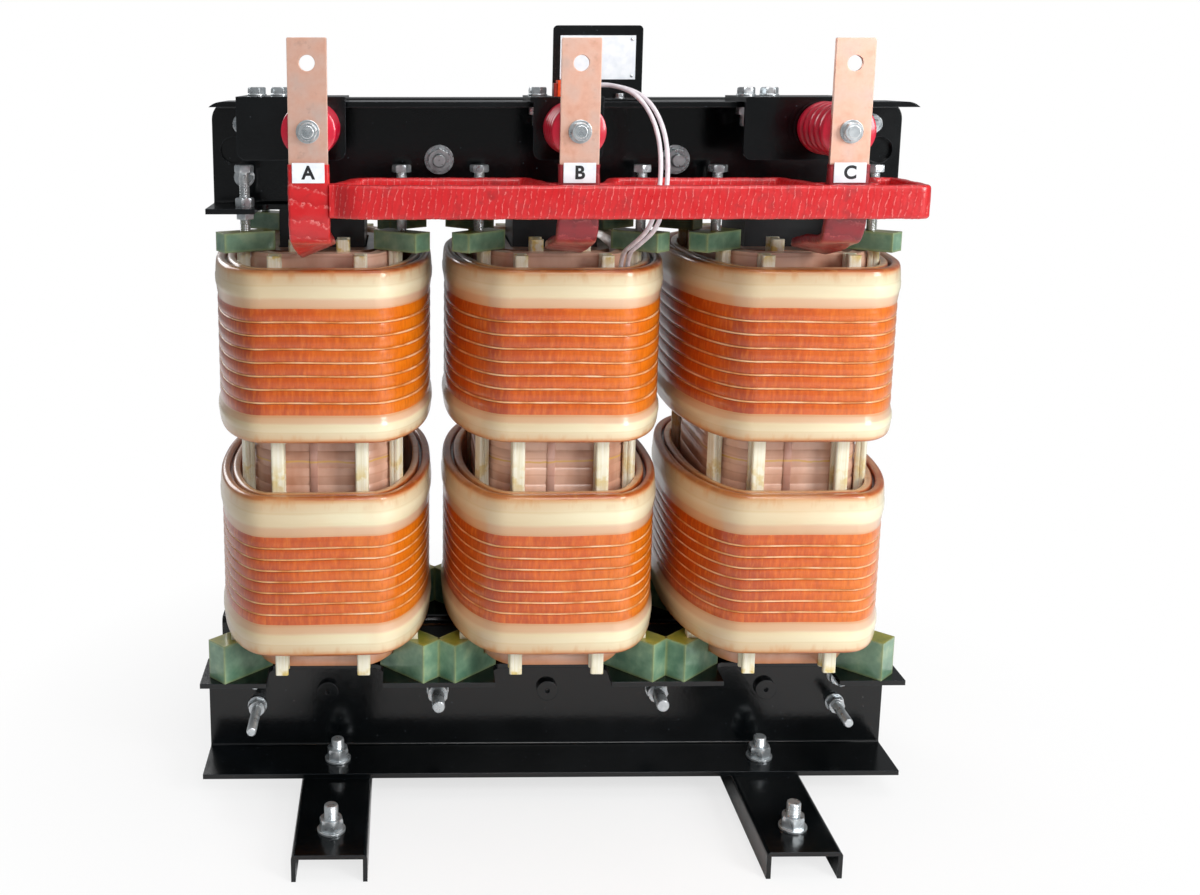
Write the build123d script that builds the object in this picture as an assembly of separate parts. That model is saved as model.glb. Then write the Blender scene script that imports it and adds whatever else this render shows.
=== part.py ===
from build123d import *
import math
import os

# Three-phase dry-type power transformer. Millimetres, Z up, front is -Y, X to the right.
# The origin is on the floor under the middle of the core.

# Core
PHASE_PITCH = 275.0
LIMB_WIDTH = 100.0
CORE_DEPTH = 116.0
YOKE_HEIGHT = 100.0
BOTTOM_YOKE_Z = 44.0
TOP_YOKE_Z = 731.0

# Clamps: channels front and rear, with flanges that point away from the core
CLAMP_PLATE = 6.0
CLAMP_HEIGHT = 124.0
LOWER_CLAMP_Z = 32.0
UPPER_CLAMP_Z = 719.0
WEB_BACK_Y = 60.0
FLANGE_EDGE_Y = 138.0
LOWER_CLAMP_HALF = 424.0
UPPER_CLAMP_HALF = 400.0
BEND_RADIUS = 9.0
UPPER_END_RADIUS = 22.0
NOTCH_HALF = 70.0
NOTCH_BACK_Y = 86.0
NOTCH_RADIUS = 12.0
LIFT_HOLE_RADIUS = 15.0
LIFT_HOLE_X = 376.0
LIFT_HOLE_Z = 786.0

# Feet
FOOT_X = 262.0
FOOT_WIDTH = 84.0
FOOT_HEIGHT = 32.0
FOOT_PLATE = 5.0
FOOT_HALF_LENGTH = 300.0
ANCHOR_Y = 250.0
FLANGE_BOLT_Y = 102.0

# Windings: half width in X and half depth in Y, and the two radii of their elliptical corners
OUTER_HALF_X = 128.0
OUTER_HALF_Y = 185.0
OUTER_CORNER_X = 68.0
OUTER_CORNER_Y = 175.0
OUTER_WALL = 22.0
MIDDLE_HALF_X = 92.0
MIDDLE_HALF_Y = 138.0
MIDDLE_CORNER_X = 48.0
MIDDLE_CORNER_Y = 95.0
MIDDLE_WALL = 16.0
INNER_HALF_X = 64.0
INNER_HALF_Y = 92.0
INNER_CORNER = 30.0
LIMB_CLEARANCE = 2.0
LOWER_COIL_Z0 = 213.0
LOWER_COIL_Z1 = 405.0
UPPER_COIL_Z0 = 467.0
UPPER_COIL_Z1 = 663.0
LOWER_COIL_BANDS = (38.0, 47.0)
UPPER_COIL_BANDS = (31.0, 43.0)
BAND_PROUD = 1.2
BAND_EDGE = 3.0
MIDDLE_Z0 = 178.0
MIDDLE_Z1 = 675.0
INNER_Z0 = 178.0
INNER_Z1 = 672.0

# Duct spacers of dog-bone section
SPACER_WIDTH = 15.0
SPACER_HEAD = 7.0
SPACER_WEB = 8.0
SPACER_CLEARANCE = 0.4
SPACER_X = 48.0
CORNER_SPACER_ANGLE = 42.0
CORNER_SPACER_GAP = 1.6
INNER_SPACER_X = 27.0
INNER_SPACER_Z1 = 688.0

# Support blocks
LOWER_BLOCK_TOP = 204.0
LOWER_BLOCK_LENGTH = 74.0
LOWER_BLOCK_WIDTH = 30.0
LOWER_BLOCK_OFFSET = 103.0
UPPER_BLOCK_TOP = 697.0
UPPER_BLOCK_LENGTH = 62.0
UPPER_BLOCK_WIDTH = 26.0
JACK_Y = 110.0
JACK_OFFSETS = {"a": (-84.0, 94.0), "b": (-93.0, 92.0), "c": (-97.0, 82.0)}
BLOCK_ANGLES = {"a": (30.0, 40.0), "b": (45.0, 42.0), "c": (40.0, 42.0)}

# Bolts: M12 and M16, and how far their ends reach past the clamps' webs
M12_RADIUS = 6.0
M12_FLATS = 19.0
M12_NUT = 10.0
M16_RADIUS = 8.0
M16_FLATS = 24.0
M16_NUT = 13.0
HOLE_CLEARANCE = 1.0
TIE_X = 364.0
TIE_UPPER_Z = (755.0, 816.0)
TIE_LOWER_Z = (93.0, 131.0)
TIE_UPPER_REACH = 16.0
TIE_LOWER_REAR_REACH = 22.0
TIE_LOWER_REACH = {-1: (72.0, 26.0), 1: (58.0, 26.0)}
TIE_WASHER_RADIUS = 12.0
TIE_WASHER = 2.5
CORE_BOLT_X = 137.5
CORE_BOLT_UPPER_Z = 775.0
CORE_BOLT_LOWER_Z = 113.0
CORE_LOWER_REACH = 50.0
CORE_UPPER_REACH = 24.0
CORE_REAR_REACH = 26.0
CORE_LOWER_WASHER_RADIUS = 14.0
CORE_UPPER_WASHER_RADIUS = 17.0
CORE_WASHER = 3.0
CAP_RADIUS = 13.0
CAP_HEIGHT = 7.0
CAP_SOCKET_RADIUS = 3.0
CAP_SOCKET_DEPTH = 4.0
FOOT_WASHER_RADIUS = 16.0
FOOT_WASHER = 3.0
ANCHOR_END_Z = 64.0
ANCHOR_START_Z = 3.0
FLANGE_STUD_END_Z = 66.0
FLANGE_STUD_START_Z = 8.0
PRESSING_HEAD_Z = 764.0
PRESSING_HEAD = 8.0
LOCK_NUT = 8.0

# Terminals
INSULATOR_Z = 816.0
BRACKET_FRONT_Y = 170.0
BRACKET_PLATE = 6.0
BRACKET_DROP = 35.0
BRACKET_CORNER = 10.0
BRACKET_BACK_Y = 74.0
BRACKET_BOLT_Y = 106.0
BRACKET_BOLT_REACH = 22.0
BRACKET_WASHER_RADIUS = 11.0
BRACKET_WASHER = 2.0
BRACKET_FLATS = 18.0
BRACKET_HEAD = 7.0
BRACKET_NUT = 9.0
INSULATOR_LENGTH = 92.0
INSULATOR_RADIUS = 28.5
INSULATOR_NECK = 22.5
INSULATOR_RIBS = 5
BAR_WIDTH = 40.0
BAR_THICKNESS = 5.0
BAR_EDGE = 1.5
BAR_RISE = 93.0
BAR_DROP = 42.0
TERMINAL_HOLE_RISE = 68.0
TERMINAL_HOLE_RADIUS = 8.0
STUD_RADIUS = 5.0
STUD_CLEARANCE = 0.8
STUD_IN_INSULATOR = 18.0
TERMINAL_WASHER_RADIUS = 12.0
TERMINAL_WASHER = 2.5
TERMINAL_FLATS = 17.0
TERMINAL_NUT = 6.5

# Taped links and leads
TAPE_THICKNESS = 12.0
LINK_HEIGHT = 34.0
LINK_Z0 = 729.0
FRONT_LINK_Y = 280.0
REAR_LINK_Y = 185.0
LINK_END_X = 351.0
LINK_TAIL = 9.0
LINK_BEND = 17.0
LINK_START_OFFSET = 2.0
LINK_RETURN_Y = 258.0
LINK_OVERLAP = 1.0
LEAD_WIDTH = 42.0
LEAD_THICKNESS = 10.0
LEAD_KNEE_Z = 724.0
LEAD_TURN_Y = 10.0
LEAD_TURN_Z = 706.0
LEAD_RIM_Z = 690.0
LEAD_RIM_INSET = 7.0
LEAD_END_Z = 684.0

# Small parts on the top flange
NAMEPLATE_X0 = -12.0
NAMEPLATE_X1 = 88.0
NAMEPLATE_Y = 112.0
NAMEPLATE_TOP_Z = 926.0
NAMEPLATE_SHEET = 3.0
NAMEPLATE_CORNER = 5.0
NAMEPLATE_FOOT_X0 = 24.0
NAMEPLATE_FOOT_DEPTH = 22.0
PLATE_MARGIN = 8.0
PLATE_THICKNESS = 0.8
PLATE_TOP_GAP = 11.0
PLATE_HEIGHT = 48.0
TERMINAL_BLOCK_X = -13.0
TERMINAL_BLOCK_Y = 136.0
BLOCK_SIZE = 20.0
BLOCK_HEIGHT = 24.0
CORD_RADIUS = 2.5
CORD_BEND = 7.0
CORD_SPACING = 7.5

PHASES = (("a", -PHASE_PITCH), ("b", 0.0), ("c", PHASE_PITCH))
LOWER_CLAMP_TOP = LOWER_CLAMP_Z + CLAMP_HEIGHT
UPPER_CLAMP_TOP = UPPER_CLAMP_Z + CLAMP_HEIGHT
WEB_FRONT_Y = WEB_BACK_Y + CLAMP_PLATE
BAR_REAR_Y = BRACKET_FRONT_Y + INSULATOR_LENGTH
BAR_FRONT_Y = BAR_REAR_Y + BAR_THICKNESS
BAR_MIDDLE_Y = (BAR_REAR_Y + BAR_FRONT_Y) / 2
BAR_TOP_Z = INSULATOR_Z + BAR_RISE
BAR_BOTTOM_Z = INSULATOR_Z - BAR_DROP
DECK_Z = UPPER_CLAMP_TOP + BRACKET_PLATE
CUT = 1.0
YOKE_HALF = PHASE_PITCH + LIMB_WIDTH / 2


def block(x0, x1, y0, y1, z0, z1):
    """A box between the given planes."""
    size = (abs(x1 - x0), abs(y1 - y0), abs(z1 - z0))
    middle = ((x0 + x1) / 2, (y0 + y1) / 2, (z0 + z1) / 2)
    return Pos(*middle) * Box(*size)


def rod_y(x, z, radius, y0, y1):
    """A round bar along Y."""
    place = Pos(x, (y0 + y1) / 2, z) * Rot(90, 0, 0)
    return place * Cylinder(radius, abs(y1 - y0))


def rod_z(x, y, radius, z0, z1):
    """A round bar along Z."""
    return Pos(x, y, (z0 + z1) / 2) * Cylinder(radius, abs(z1 - z0))


def hex_y(x, z, flats, y0, y1, turn=0.0):
    """A hexagon nut along Y, with the width across its flats."""
    face = RegularPolygon(flats / 2, 6, major_radius=False, rotation=turn)
    body = extrude(face, abs(y1 - y0))
    return Pos(x, max(y0, y1), z) * Rot(90, 0, 0) * body


def hex_z(x, y, flats, z0, z1, turn=0.0):
    """A hexagon nut along Z."""
    face = RegularPolygon(flats / 2, 6, major_radius=False, rotation=turn)
    return Pos(x, y, z0) * extrude(face, z1 - z0)


def mirror_y(shape):
    """The same piece on the rear side."""
    return mirror(shape, Plane.XZ)


def mitre_outline(points, width):
    """The outline of a strip of one width along a polyline, with mitred corners."""
    left = []
    right = []
    last = len(points) - 1
    for i, (x, y) in enumerate(points):
        before = points[max(i - 1, 0)]
        after = points[min(i + 1, last)]
        d1 = (x - before[0], y - before[1]) if i > 0 else (after[0] - x, after[1] - y)
        d2 = (after[0] - x, after[1] - y) if i < last else d1
        n1 = math.hypot(*d1)
        n2 = math.hypot(*d2)
        u1 = (-d1[1] / n1, d1[0] / n1)
        u2 = (-d2[1] / n2, d2[0] / n2)
        nx = u1[0] + u2[0]
        ny = u1[1] + u2[1]
        scale = (width / 2) * 2 / (nx * nx + ny * ny)
        left.append((x + nx * scale, y + ny * scale))
        right.append((x - nx * scale, y - ny * scale))
    return left + right[::-1]


def oval(half_x, half_y, corner_x, corner_y):
    """A rectangle with elliptical corners."""
    sx = half_x - corner_x
    sy = half_y - corner_y
    edges = [
        Line((-sx, -half_y), (sx, -half_y)),
        EllipticalCenterArc((sx, -sy), corner_x, corner_y, 270, arc_size=90),
        Line((half_x, -sy), (half_x, sy)),
        EllipticalCenterArc((sx, sy), corner_x, corner_y, 0, arc_size=90),
        Line((sx, half_y), (-sx, half_y)),
        EllipticalCenterArc((-sx, sy), corner_x, corner_y, 90, arc_size=90),
        Line((-half_x, sy), (-half_x, -sy)),
        EllipticalCenterArc((-sx, -sy), corner_x, corner_y, 180, arc_size=90),
    ]
    return make_face(edges)


def tube(outer, inner, z0, z1):
    """A shell between two outlines."""
    return Pos(0, 0, z0) * extrude(outer - inner, z1 - z0)


# Core: yokes and limbs of stacked laminations
half_core = CORE_DEPTH / 2
bottom_yoke = block(-YOKE_HALF, YOKE_HALF, -half_core, half_core, BOTTOM_YOKE_Z, BOTTOM_YOKE_Z + YOKE_HEIGHT)
top_yoke = block(-YOKE_HALF, YOKE_HALF, -half_core, half_core, TOP_YOKE_Z, TOP_YOKE_Z + YOKE_HEIGHT)
limbs = []
for name, cx in PHASES:
    x0 = cx - LIMB_WIDTH / 2
    x1 = cx + LIMB_WIDTH / 2
    limbs.append(block(x0, x1, -half_core, half_core, BOTTOM_YOKE_Z + YOKE_HEIGHT, TOP_YOKE_Z))
for sx in (-1, 1):
    bore = M16_RADIUS + HOLE_CLEARANCE
    bottom_yoke -= rod_y(sx * CORE_BOLT_X, CORE_BOLT_LOWER_Z, bore, -half_core - CUT, half_core + CUT)
    top_yoke -= rod_y(sx * CORE_BOLT_X, CORE_BOLT_UPPER_Z, bore, -half_core - CUT, half_core + CUT)


# Clamps
def channel(half_length, z0):
    """The front channel: a web with two flanges toward -Y and rounded bends."""
    z1 = z0 + CLAMP_HEIGHT
    outline = Polyline(
        (-WEB_BACK_Y, z0),
        (-FLANGE_EDGE_Y, z0),
        (-FLANGE_EDGE_Y, z0 + CLAMP_PLATE),
        (-WEB_FRONT_Y, z0 + CLAMP_PLATE),
        (-WEB_FRONT_Y, z1 - CLAMP_PLATE),
        (-FLANGE_EDGE_Y, z1 - CLAMP_PLATE),
        (-FLANGE_EDGE_Y, z1),
        (-WEB_BACK_Y, z1),
        close=True,
    )
    face = Plane.YZ * make_face(outline)
    body = Pos(-half_length, 0, 0) * extrude(face, 2 * half_length)
    outer_bends = [e for e in body.edges().filter_by(Axis.X) if abs(e.center().Y + WEB_BACK_Y) < 0.01]
    body = fillet(outer_bends, BEND_RADIUS)
    inner_bends = [
        e
        for e in body.edges().filter_by(Axis.X)
        if abs(e.center().Y + WEB_FRONT_Y) < 0.01 and z0 + 3 < e.center().Z < z1 - 3
    ]
    return fillet(inner_bends, BEND_RADIUS - CLAMP_PLATE)


def notch(cx, z0, z1):
    """The rounded slot in a flange that clears one phase."""
    depth = FLANGE_EDGE_Y - NOTCH_BACK_Y + 30
    middle = -(NOTCH_BACK_Y + depth / 2)
    return Pos(cx, middle, z0) * extrude(RectangleRounded(2 * NOTCH_HALF, depth, NOTCH_RADIUS), z1 - z0)


def corner_cut(x, z, radius, sx, sz):
    """What is taken off an outer corner of the channel's end to round it."""
    back = -WEB_BACK_Y + CUT
    front = -FLANGE_EDGE_Y - CUT
    square = block(x, x - sx * radius, front, back, z, z - sz * radius)
    return square - rod_y(x - sx * radius, z - sz * radius, radius, front - CUT, back + CUT)


def web_bore(x, z, radius):
    """What a round hole takes out of the front web."""
    return rod_y(x, z, radius, -WEB_FRONT_Y - CUT, -WEB_BACK_Y + CUT)


def flange_bore(x, y, radius, z):
    """What a round hole takes out of a flange whose underside is at z."""
    return rod_z(x, y, radius, z - CUT, z + CLAMP_PLATE + CUT)


lower_clamp = channel(LOWER_CLAMP_HALF, LOWER_CLAMP_Z)
upper_clamp = channel(UPPER_CLAMP_HALF, UPPER_CLAMP_Z)
for name, cx in PHASES:
    lower_clamp -= notch(cx, LOWER_CLAMP_TOP - CLAMP_PLATE - 1, LOWER_CLAMP_TOP + 1)
    upper_clamp -= notch(cx, UPPER_CLAMP_Z - 1, UPPER_CLAMP_Z + CLAMP_PLATE + 1)
for sx in (-1, 1):
    end = sx * UPPER_CLAMP_HALF
    upper_clamp -= corner_cut(end, UPPER_CLAMP_TOP, UPPER_END_RADIUS, sx, 1)
    upper_clamp -= web_bore(sx * LIFT_HOLE_X, LIFT_HOLE_Z, LIFT_HOLE_RADIUS)
    tie_bore = M12_RADIUS + HOLE_CLEARANCE
    core_bore = M16_RADIUS + HOLE_CLEARANCE
    for z in TIE_UPPER_Z:
        upper_clamp -= web_bore(sx * TIE_X, z, tie_bore)
    for z in TIE_LOWER_Z:
        lower_clamp -= web_bore(sx * TIE_X, z, tie_bore)
    upper_clamp -= web_bore(sx * CORE_BOLT_X, CORE_BOLT_UPPER_Z, core_bore)
    lower_clamp -= web_bore(sx * CORE_BOLT_X, CORE_BOLT_LOWER_Z, core_bore)
    lower_clamp -= flange_bore(sx * FOOT_X, -FLANGE_BOLT_Y, core_bore, LOWER_CLAMP_Z)
for name, cx in PHASES:
    for offset in JACK_OFFSETS[name]:
        upper_clamp -= flange_bore(cx + offset, -JACK_Y, M12_RADIUS + HOLE_CLEARANCE, UPPER_CLAMP_Z)
rear_upper_clamp = mirror_y(upper_clamp)
rear_lower_clamp = mirror_y(lower_clamp)

# Insulation sheets between the clamps and the yokes
SHEET_PAST_YOKE = 8.0
SHEET_PAST_EDGE = 2.0
sheets = []
for z0 in (BOTTOM_YOKE_Z, TOP_YOKE_Z):
    end = YOKE_HALF + SHEET_PAST_YOKE
    low = z0 - SHEET_PAST_EDGE
    high = z0 + YOKE_HEIGHT + SHEET_PAST_EDGE
    sheet = block(-end, end, -WEB_BACK_Y, -half_core, low, high)
    bolt_z = CORE_BOLT_LOWER_Z if z0 == BOTTOM_YOKE_Z else CORE_BOLT_UPPER_Z
    for sx in (-1, 1):
        bore = M16_RADIUS + HOLE_CLEARANCE
        sheet -= rod_y(sx * CORE_BOLT_X, bolt_z, bore, -WEB_BACK_Y - CUT, -half_core + CUT)
    sheets.append(sheet)
    sheets.append(mirror_y(sheet))


# Feet: channels with the open side down
def foot(x):
    half = FOOT_WIDTH / 2
    outer = block(x - half, x + half, -FOOT_HALF_LENGTH, FOOT_HALF_LENGTH, 0, FOOT_HEIGHT)
    outer = fillet(outer.edges().filter_by(Axis.Y).group_by(Axis.Z)[-1], FOOT_PLATE)
    reach = FOOT_HALF_LENGTH + CUT
    inside = half - FOOT_PLATE
    outer -= block(x - inside, x + inside, -reach, reach, -CUT, FOOT_HEIGHT - FOOT_PLATE)
    for y in (-ANCHOR_Y, -FLANGE_BOLT_Y, FLANGE_BOLT_Y, ANCHOR_Y):
        outer -= rod_z(x, y, M16_RADIUS + HOLE_CLEARANCE, 0, FOOT_HEIGHT + CUT)
    return outer


left_foot = foot(-FOOT_X)
right_foot = foot(FOOT_X)

# Windings of one phase, built at X = 0
def winding_face(grow=0.0):
    """The outline of the outer coil, moved outward by a little or inward by its wall."""
    return oval(OUTER_HALF_X + grow, OUTER_HALF_Y + grow, OUTER_CORNER_X + grow, OUTER_CORNER_Y + grow)


def shell_face(grow=0.0):
    """The outline of the middle winding, in the same way."""
    return oval(MIDDLE_HALF_X + grow, MIDDLE_HALF_Y + grow, MIDDLE_CORNER_X + grow, MIDDLE_CORNER_Y + grow)


outer_face = winding_face()
band_face = winding_face(BAND_PROUD)
bore_face = winding_face(-OUTER_WALL)
middle_face = shell_face()
middle_bore = shell_face(-MIDDLE_WALL)
inner_face = RectangleRounded(2 * INNER_HALF_X, 2 * INNER_HALF_Y, INNER_CORNER)
limb_face = Rectangle(LIMB_WIDTH + 2 * LIMB_CLEARANCE, CORE_DEPTH + 2 * LIMB_CLEARANCE)


def outer_coil(z0, z1, bands):
    """Turns between two insulation bands that stand slightly proud."""
    turns = tube(outer_face, bore_face, z0 + bands[0], z1 - bands[1])
    low = tube(band_face, bore_face, z0, z0 + bands[0])
    high = tube(band_face, bore_face, z1 - bands[1], z1)
    low = fillet(low.edges().group_by(Axis.Z)[0], BAND_EDGE)
    high = fillet(high.edges().group_by(Axis.Z)[-1], BAND_EDGE)
    return turns + low + high


lower_coil = outer_coil(LOWER_COIL_Z0, LOWER_COIL_Z1, LOWER_COIL_BANDS)
upper_coil = outer_coil(UPPER_COIL_Z0, UPPER_COIL_Z1, UPPER_COIL_BANDS)
middle_coil = tube(middle_face, middle_bore, MIDDLE_Z0, MIDDLE_Z1)
inner_coil = tube(inner_face, limb_face, INNER_Z0, INNER_Z1)


def dog_bone(length, z0, z1):
    """A spacer strip: two wide rounded heads joined by a web, long in Y."""
    head_y = (length - SPACER_HEAD) / 2
    head = RectangleRounded(SPACER_WIDTH, SPACER_HEAD, 2.6)
    face = Pos(0, head_y) * head + Pos(0, -head_y) * head
    face += Rectangle(SPACER_WEB, length - SPACER_HEAD)
    return Pos(0, 0, z0) * extrude(face, z1 - z0)


bore_half_y = OUTER_HALF_Y - OUTER_WALL
middle_bore_half_y = MIDDLE_HALF_Y - MIDDLE_WALL
outer_duct = bore_half_y - MIDDLE_HALF_Y
inner_duct = middle_bore_half_y - INNER_HALF_Y
duct_middle_y = (bore_half_y + MIDDLE_HALF_Y) / 2
inner_duct_y = (middle_bore_half_y + INNER_HALF_Y) / 2


def corner_duct(angle):
    """Where the middle winding's corner has this angle, with the way out to the bore."""
    t = math.radians(angle)
    px = MIDDLE_HALF_X - MIDDLE_CORNER_X + MIDDLE_CORNER_X * math.cos(t)
    py = MIDDLE_HALF_Y - MIDDLE_CORNER_Y + MIDDLE_CORNER_Y * math.sin(t)
    nx = math.cos(t) / MIDDLE_CORNER_X
    ny = math.sin(t) / MIDDLE_CORNER_Y
    size = math.hypot(nx, ny)
    nx, ny = nx / size, ny / size
    rx = OUTER_CORNER_X - OUTER_WALL
    ry = OUTER_CORNER_Y - OUTER_WALL
    qx = OUTER_HALF_X - OUTER_CORNER_X
    qy = OUTER_HALF_Y - OUTER_CORNER_Y
    a = (nx / rx) ** 2 + (ny / ry) ** 2
    b = 2 * ((px - qx) * nx / rx**2 + (py - qy) * ny / ry**2)
    c = ((px - qx) / rx) ** 2 + ((py - qy) / ry) ** 2 - 1
    gap = (-b + math.sqrt(b * b - 4 * a * c)) / (2 * a)
    return px, py, nx, ny, gap


px, py, nx, ny, gap = corner_duct(CORNER_SPACER_ANGLE)
corner_x = px + nx * gap / 2
corner_y = py + ny * gap / 2
corner_turn = math.degrees(math.atan2(nx, ny))
spacers = []
front_spacer = dog_bone(outer_duct - 2 * SPACER_CLEARANCE, MIDDLE_Z0, MIDDLE_Z1)
inner_spacer = dog_bone(inner_duct - 2 * SPACER_CLEARANCE, INNER_Z0, INNER_SPACER_Z1)
corner_spacer = dog_bone(gap - 2 * CORNER_SPACER_GAP, LOWER_BLOCK_TOP, MIDDLE_Z1)
for sy in (-1, 1):
    for sx in (-1, 1):
        spacers.append(Pos(sx * SPACER_X, sy * duct_middle_y, 0) * front_spacer)
        spacers.append(Pos(sx * INNER_SPACER_X, sy * inner_duct_y, 0) * inner_spacer)
        place = Pos(sx * corner_x, sy * corner_y, 0)
        spacers.append(place * Rot(0, 0, -sx * sy * corner_turn) * corner_spacer)

# Rest pads under the middle of the outer coils' walls stand on the lower blocks
PAD_SIZE = 15.0
PAD_Y = 112.0
wall_corner_x = OUTER_CORNER_X - OUTER_WALL / 2
wall_corner_y = OUTER_CORNER_Y - OUTER_WALL / 2
rise = (PAD_Y - (OUTER_HALF_Y - OUTER_CORNER_Y)) / wall_corner_y
pad_x = OUTER_HALF_X - OUTER_CORNER_X + wall_corner_x * math.sqrt(1 - rise * rise)
pad_height = LOWER_COIL_Z0 - LOWER_BLOCK_TOP
for sy in (-1, 1):
    for sx in (-1, 1):
        pad = Box(PAD_SIZE, PAD_SIZE, pad_height)
        spacers.append(Pos(sx * pad_x, sy * PAD_Y, LOWER_BLOCK_TOP + pad_height / 2) * pad)

# Lower support blocks: radial, with a step that carries the middle winding
lower_blocks = []
BLOCK_TURN = 45.0
STEP_CLEARANCE = 1.0
step_cut = Pos(0, 0, MIDDLE_Z0) * extrude(shell_face(STEP_CLEARANCE), LOWER_BLOCK_TOP - MIDDLE_Z0 + CUT)
for name, cx in PHASES:
    for sy in (-1, 1):
        for sx in (-1, 1):
            turn = BLOCK_TURN * sx * sy
            body = Box(LOWER_BLOCK_LENGTH, LOWER_BLOCK_WIDTH, LOWER_BLOCK_TOP - LOWER_CLAMP_TOP)
            height = (LOWER_BLOCK_TOP + LOWER_CLAMP_TOP) / 2
            body = Pos(sx * LOWER_BLOCK_OFFSET, sy * LOWER_BLOCK_OFFSET, height) * Rot(0, 0, turn) * body
            body -= step_cut
            lower_blocks.append(Pos(cx, 0, 0) * body)

# Upper support blocks and the pressing bolts that bear on them
upper_blocks = []
pressing_bolts = []
for name, cx in PHASES:
    for offset, angle in zip(JACK_OFFSETS[name], BLOCK_ANGLES[name]):
        x = cx + offset
        turn = angle if offset < 0 else -angle
        body = Box(UPPER_BLOCK_LENGTH, UPPER_BLOCK_WIDTH, UPPER_BLOCK_TOP - MIDDLE_Z1)
        body = Pos(x, -JACK_Y, (UPPER_BLOCK_TOP + MIDDLE_Z1) / 2) * Rot(0, 0, turn) * body
        flange_top = UPPER_CLAMP_Z + CLAMP_PLATE
        head_top = PRESSING_HEAD_Z + PRESSING_HEAD
        bolt = rod_z(x, -JACK_Y, M12_RADIUS, UPPER_BLOCK_TOP, PRESSING_HEAD_Z)
        bolt += hex_z(x, -JACK_Y, M12_FLATS, PRESSING_HEAD_Z, head_top, 10)
        bolt += hex_z(x, -JACK_Y, M12_FLATS, flange_top, flange_top + M12_NUT, 25)
        bolt += hex_z(x, -JACK_Y, M12_FLATS, UPPER_CLAMP_Z - LOCK_NUT, UPPER_CLAMP_Z, 5)
        upper_blocks.append(body)
        upper_blocks.append(mirror_y(body))
        pressing_bolts.append(bolt)
        pressing_bolts.append(mirror_y(bolt))


def through_bolt(x, z, radius, reach, rear_reach, washer_radius, washer, flats, nut, turn):
    """A bolt through both webs, with a washer and a nut on each and its ends past them."""
    body = rod_y(x, z, radius, -WEB_FRONT_Y - reach, WEB_FRONT_Y + rear_reach)
    for sy in (-1, 1):
        seat = sy * WEB_FRONT_Y
        face = seat + sy * washer
        body += rod_y(x, z, washer_radius, seat, face)
        body += hex_y(x, z, flats, face, face + sy * nut, turn)
    return body


# Tie bolts past the ends of the yokes
tie_bolts = []
for sx in (-1, 1):
    x = sx * TIE_X
    nut = (TIE_WASHER_RADIUS, TIE_WASHER, M12_FLATS, M12_NUT, 10)
    for z, reach in zip(TIE_LOWER_Z, TIE_LOWER_REACH[sx]):
        tie_bolts.append(through_bolt(x, z, M12_RADIUS, reach, TIE_LOWER_REAR_REACH, *nut))
    for z in TIE_UPPER_Z:
        tie_bolts.append(through_bolt(x, z, M12_RADIUS, TIE_UPPER_REACH, TIE_UPPER_REACH, *nut))

# Core bolts through the yokes, with large washers, and the black caps at the phases
core_bolts = []
for sx in (-1, 1):
    x = sx * CORE_BOLT_X
    nut = (CORE_WASHER, M16_FLATS, M16_NUT, 8)
    low = (CORE_BOLT_LOWER_Z, M16_RADIUS, CORE_LOWER_REACH, CORE_REAR_REACH, CORE_LOWER_WASHER_RADIUS)
    high = (CORE_BOLT_UPPER_Z, M16_RADIUS, CORE_UPPER_REACH, CORE_REAR_REACH, CORE_UPPER_WASHER_RADIUS)
    core_bolts.append(through_bolt(x, *low, *nut))
    core_bolts.append(through_bolt(x, *high, *nut))
yoke_caps = []
cap_face = -WEB_FRONT_Y - CAP_HEIGHT
for name, cx in PHASES:
    cap = rod_y(cx, CORE_BOLT_LOWER_Z, CAP_RADIUS, -WEB_FRONT_Y, cap_face)
    cap -= rod_y(cx, CORE_BOLT_LOWER_Z, CAP_SOCKET_RADIUS, cap_face + CAP_SOCKET_DEPTH, cap_face - CUT)
    yoke_caps.append(cap)
    yoke_caps.append(mirror_y(cap))

# Studs in the feet: the inner ones hold the clamps, the outer ones anchor the plant
foot_studs = []
plate_under = FOOT_HEIGHT - FOOT_PLATE


def foot_stud(x, y, start, end, seat, turn):
    """A stud with a nut under the foot and a washer and nut on what it holds."""
    stud = rod_z(x, y, M16_RADIUS, start, end)
    stud += rod_z(x, y, FOOT_WASHER_RADIUS, seat, seat + FOOT_WASHER)
    stud += hex_z(x, y, M16_FLATS, seat + FOOT_WASHER, seat + FOOT_WASHER + M16_NUT, turn)
    stud += hex_z(x, y, M16_FLATS, plate_under - M16_NUT, plate_under, turn)
    return stud


for sx in (-1, 1):
    x = sx * FOOT_X
    flange_top = LOWER_CLAMP_Z + CLAMP_PLATE
    inner = foot_stud(x, -FLANGE_BOLT_Y, FLANGE_STUD_START_Z, FLANGE_STUD_END_Z, flange_top, 12)
    outer = foot_stud(x, -ANCHOR_Y, ANCHOR_START_Z, ANCHOR_END_Z, FOOT_HEIGHT, 20)
    for stud in (inner, outer):
        foot_studs.append(stud)
        foot_studs.append(mirror_y(stud))

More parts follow.
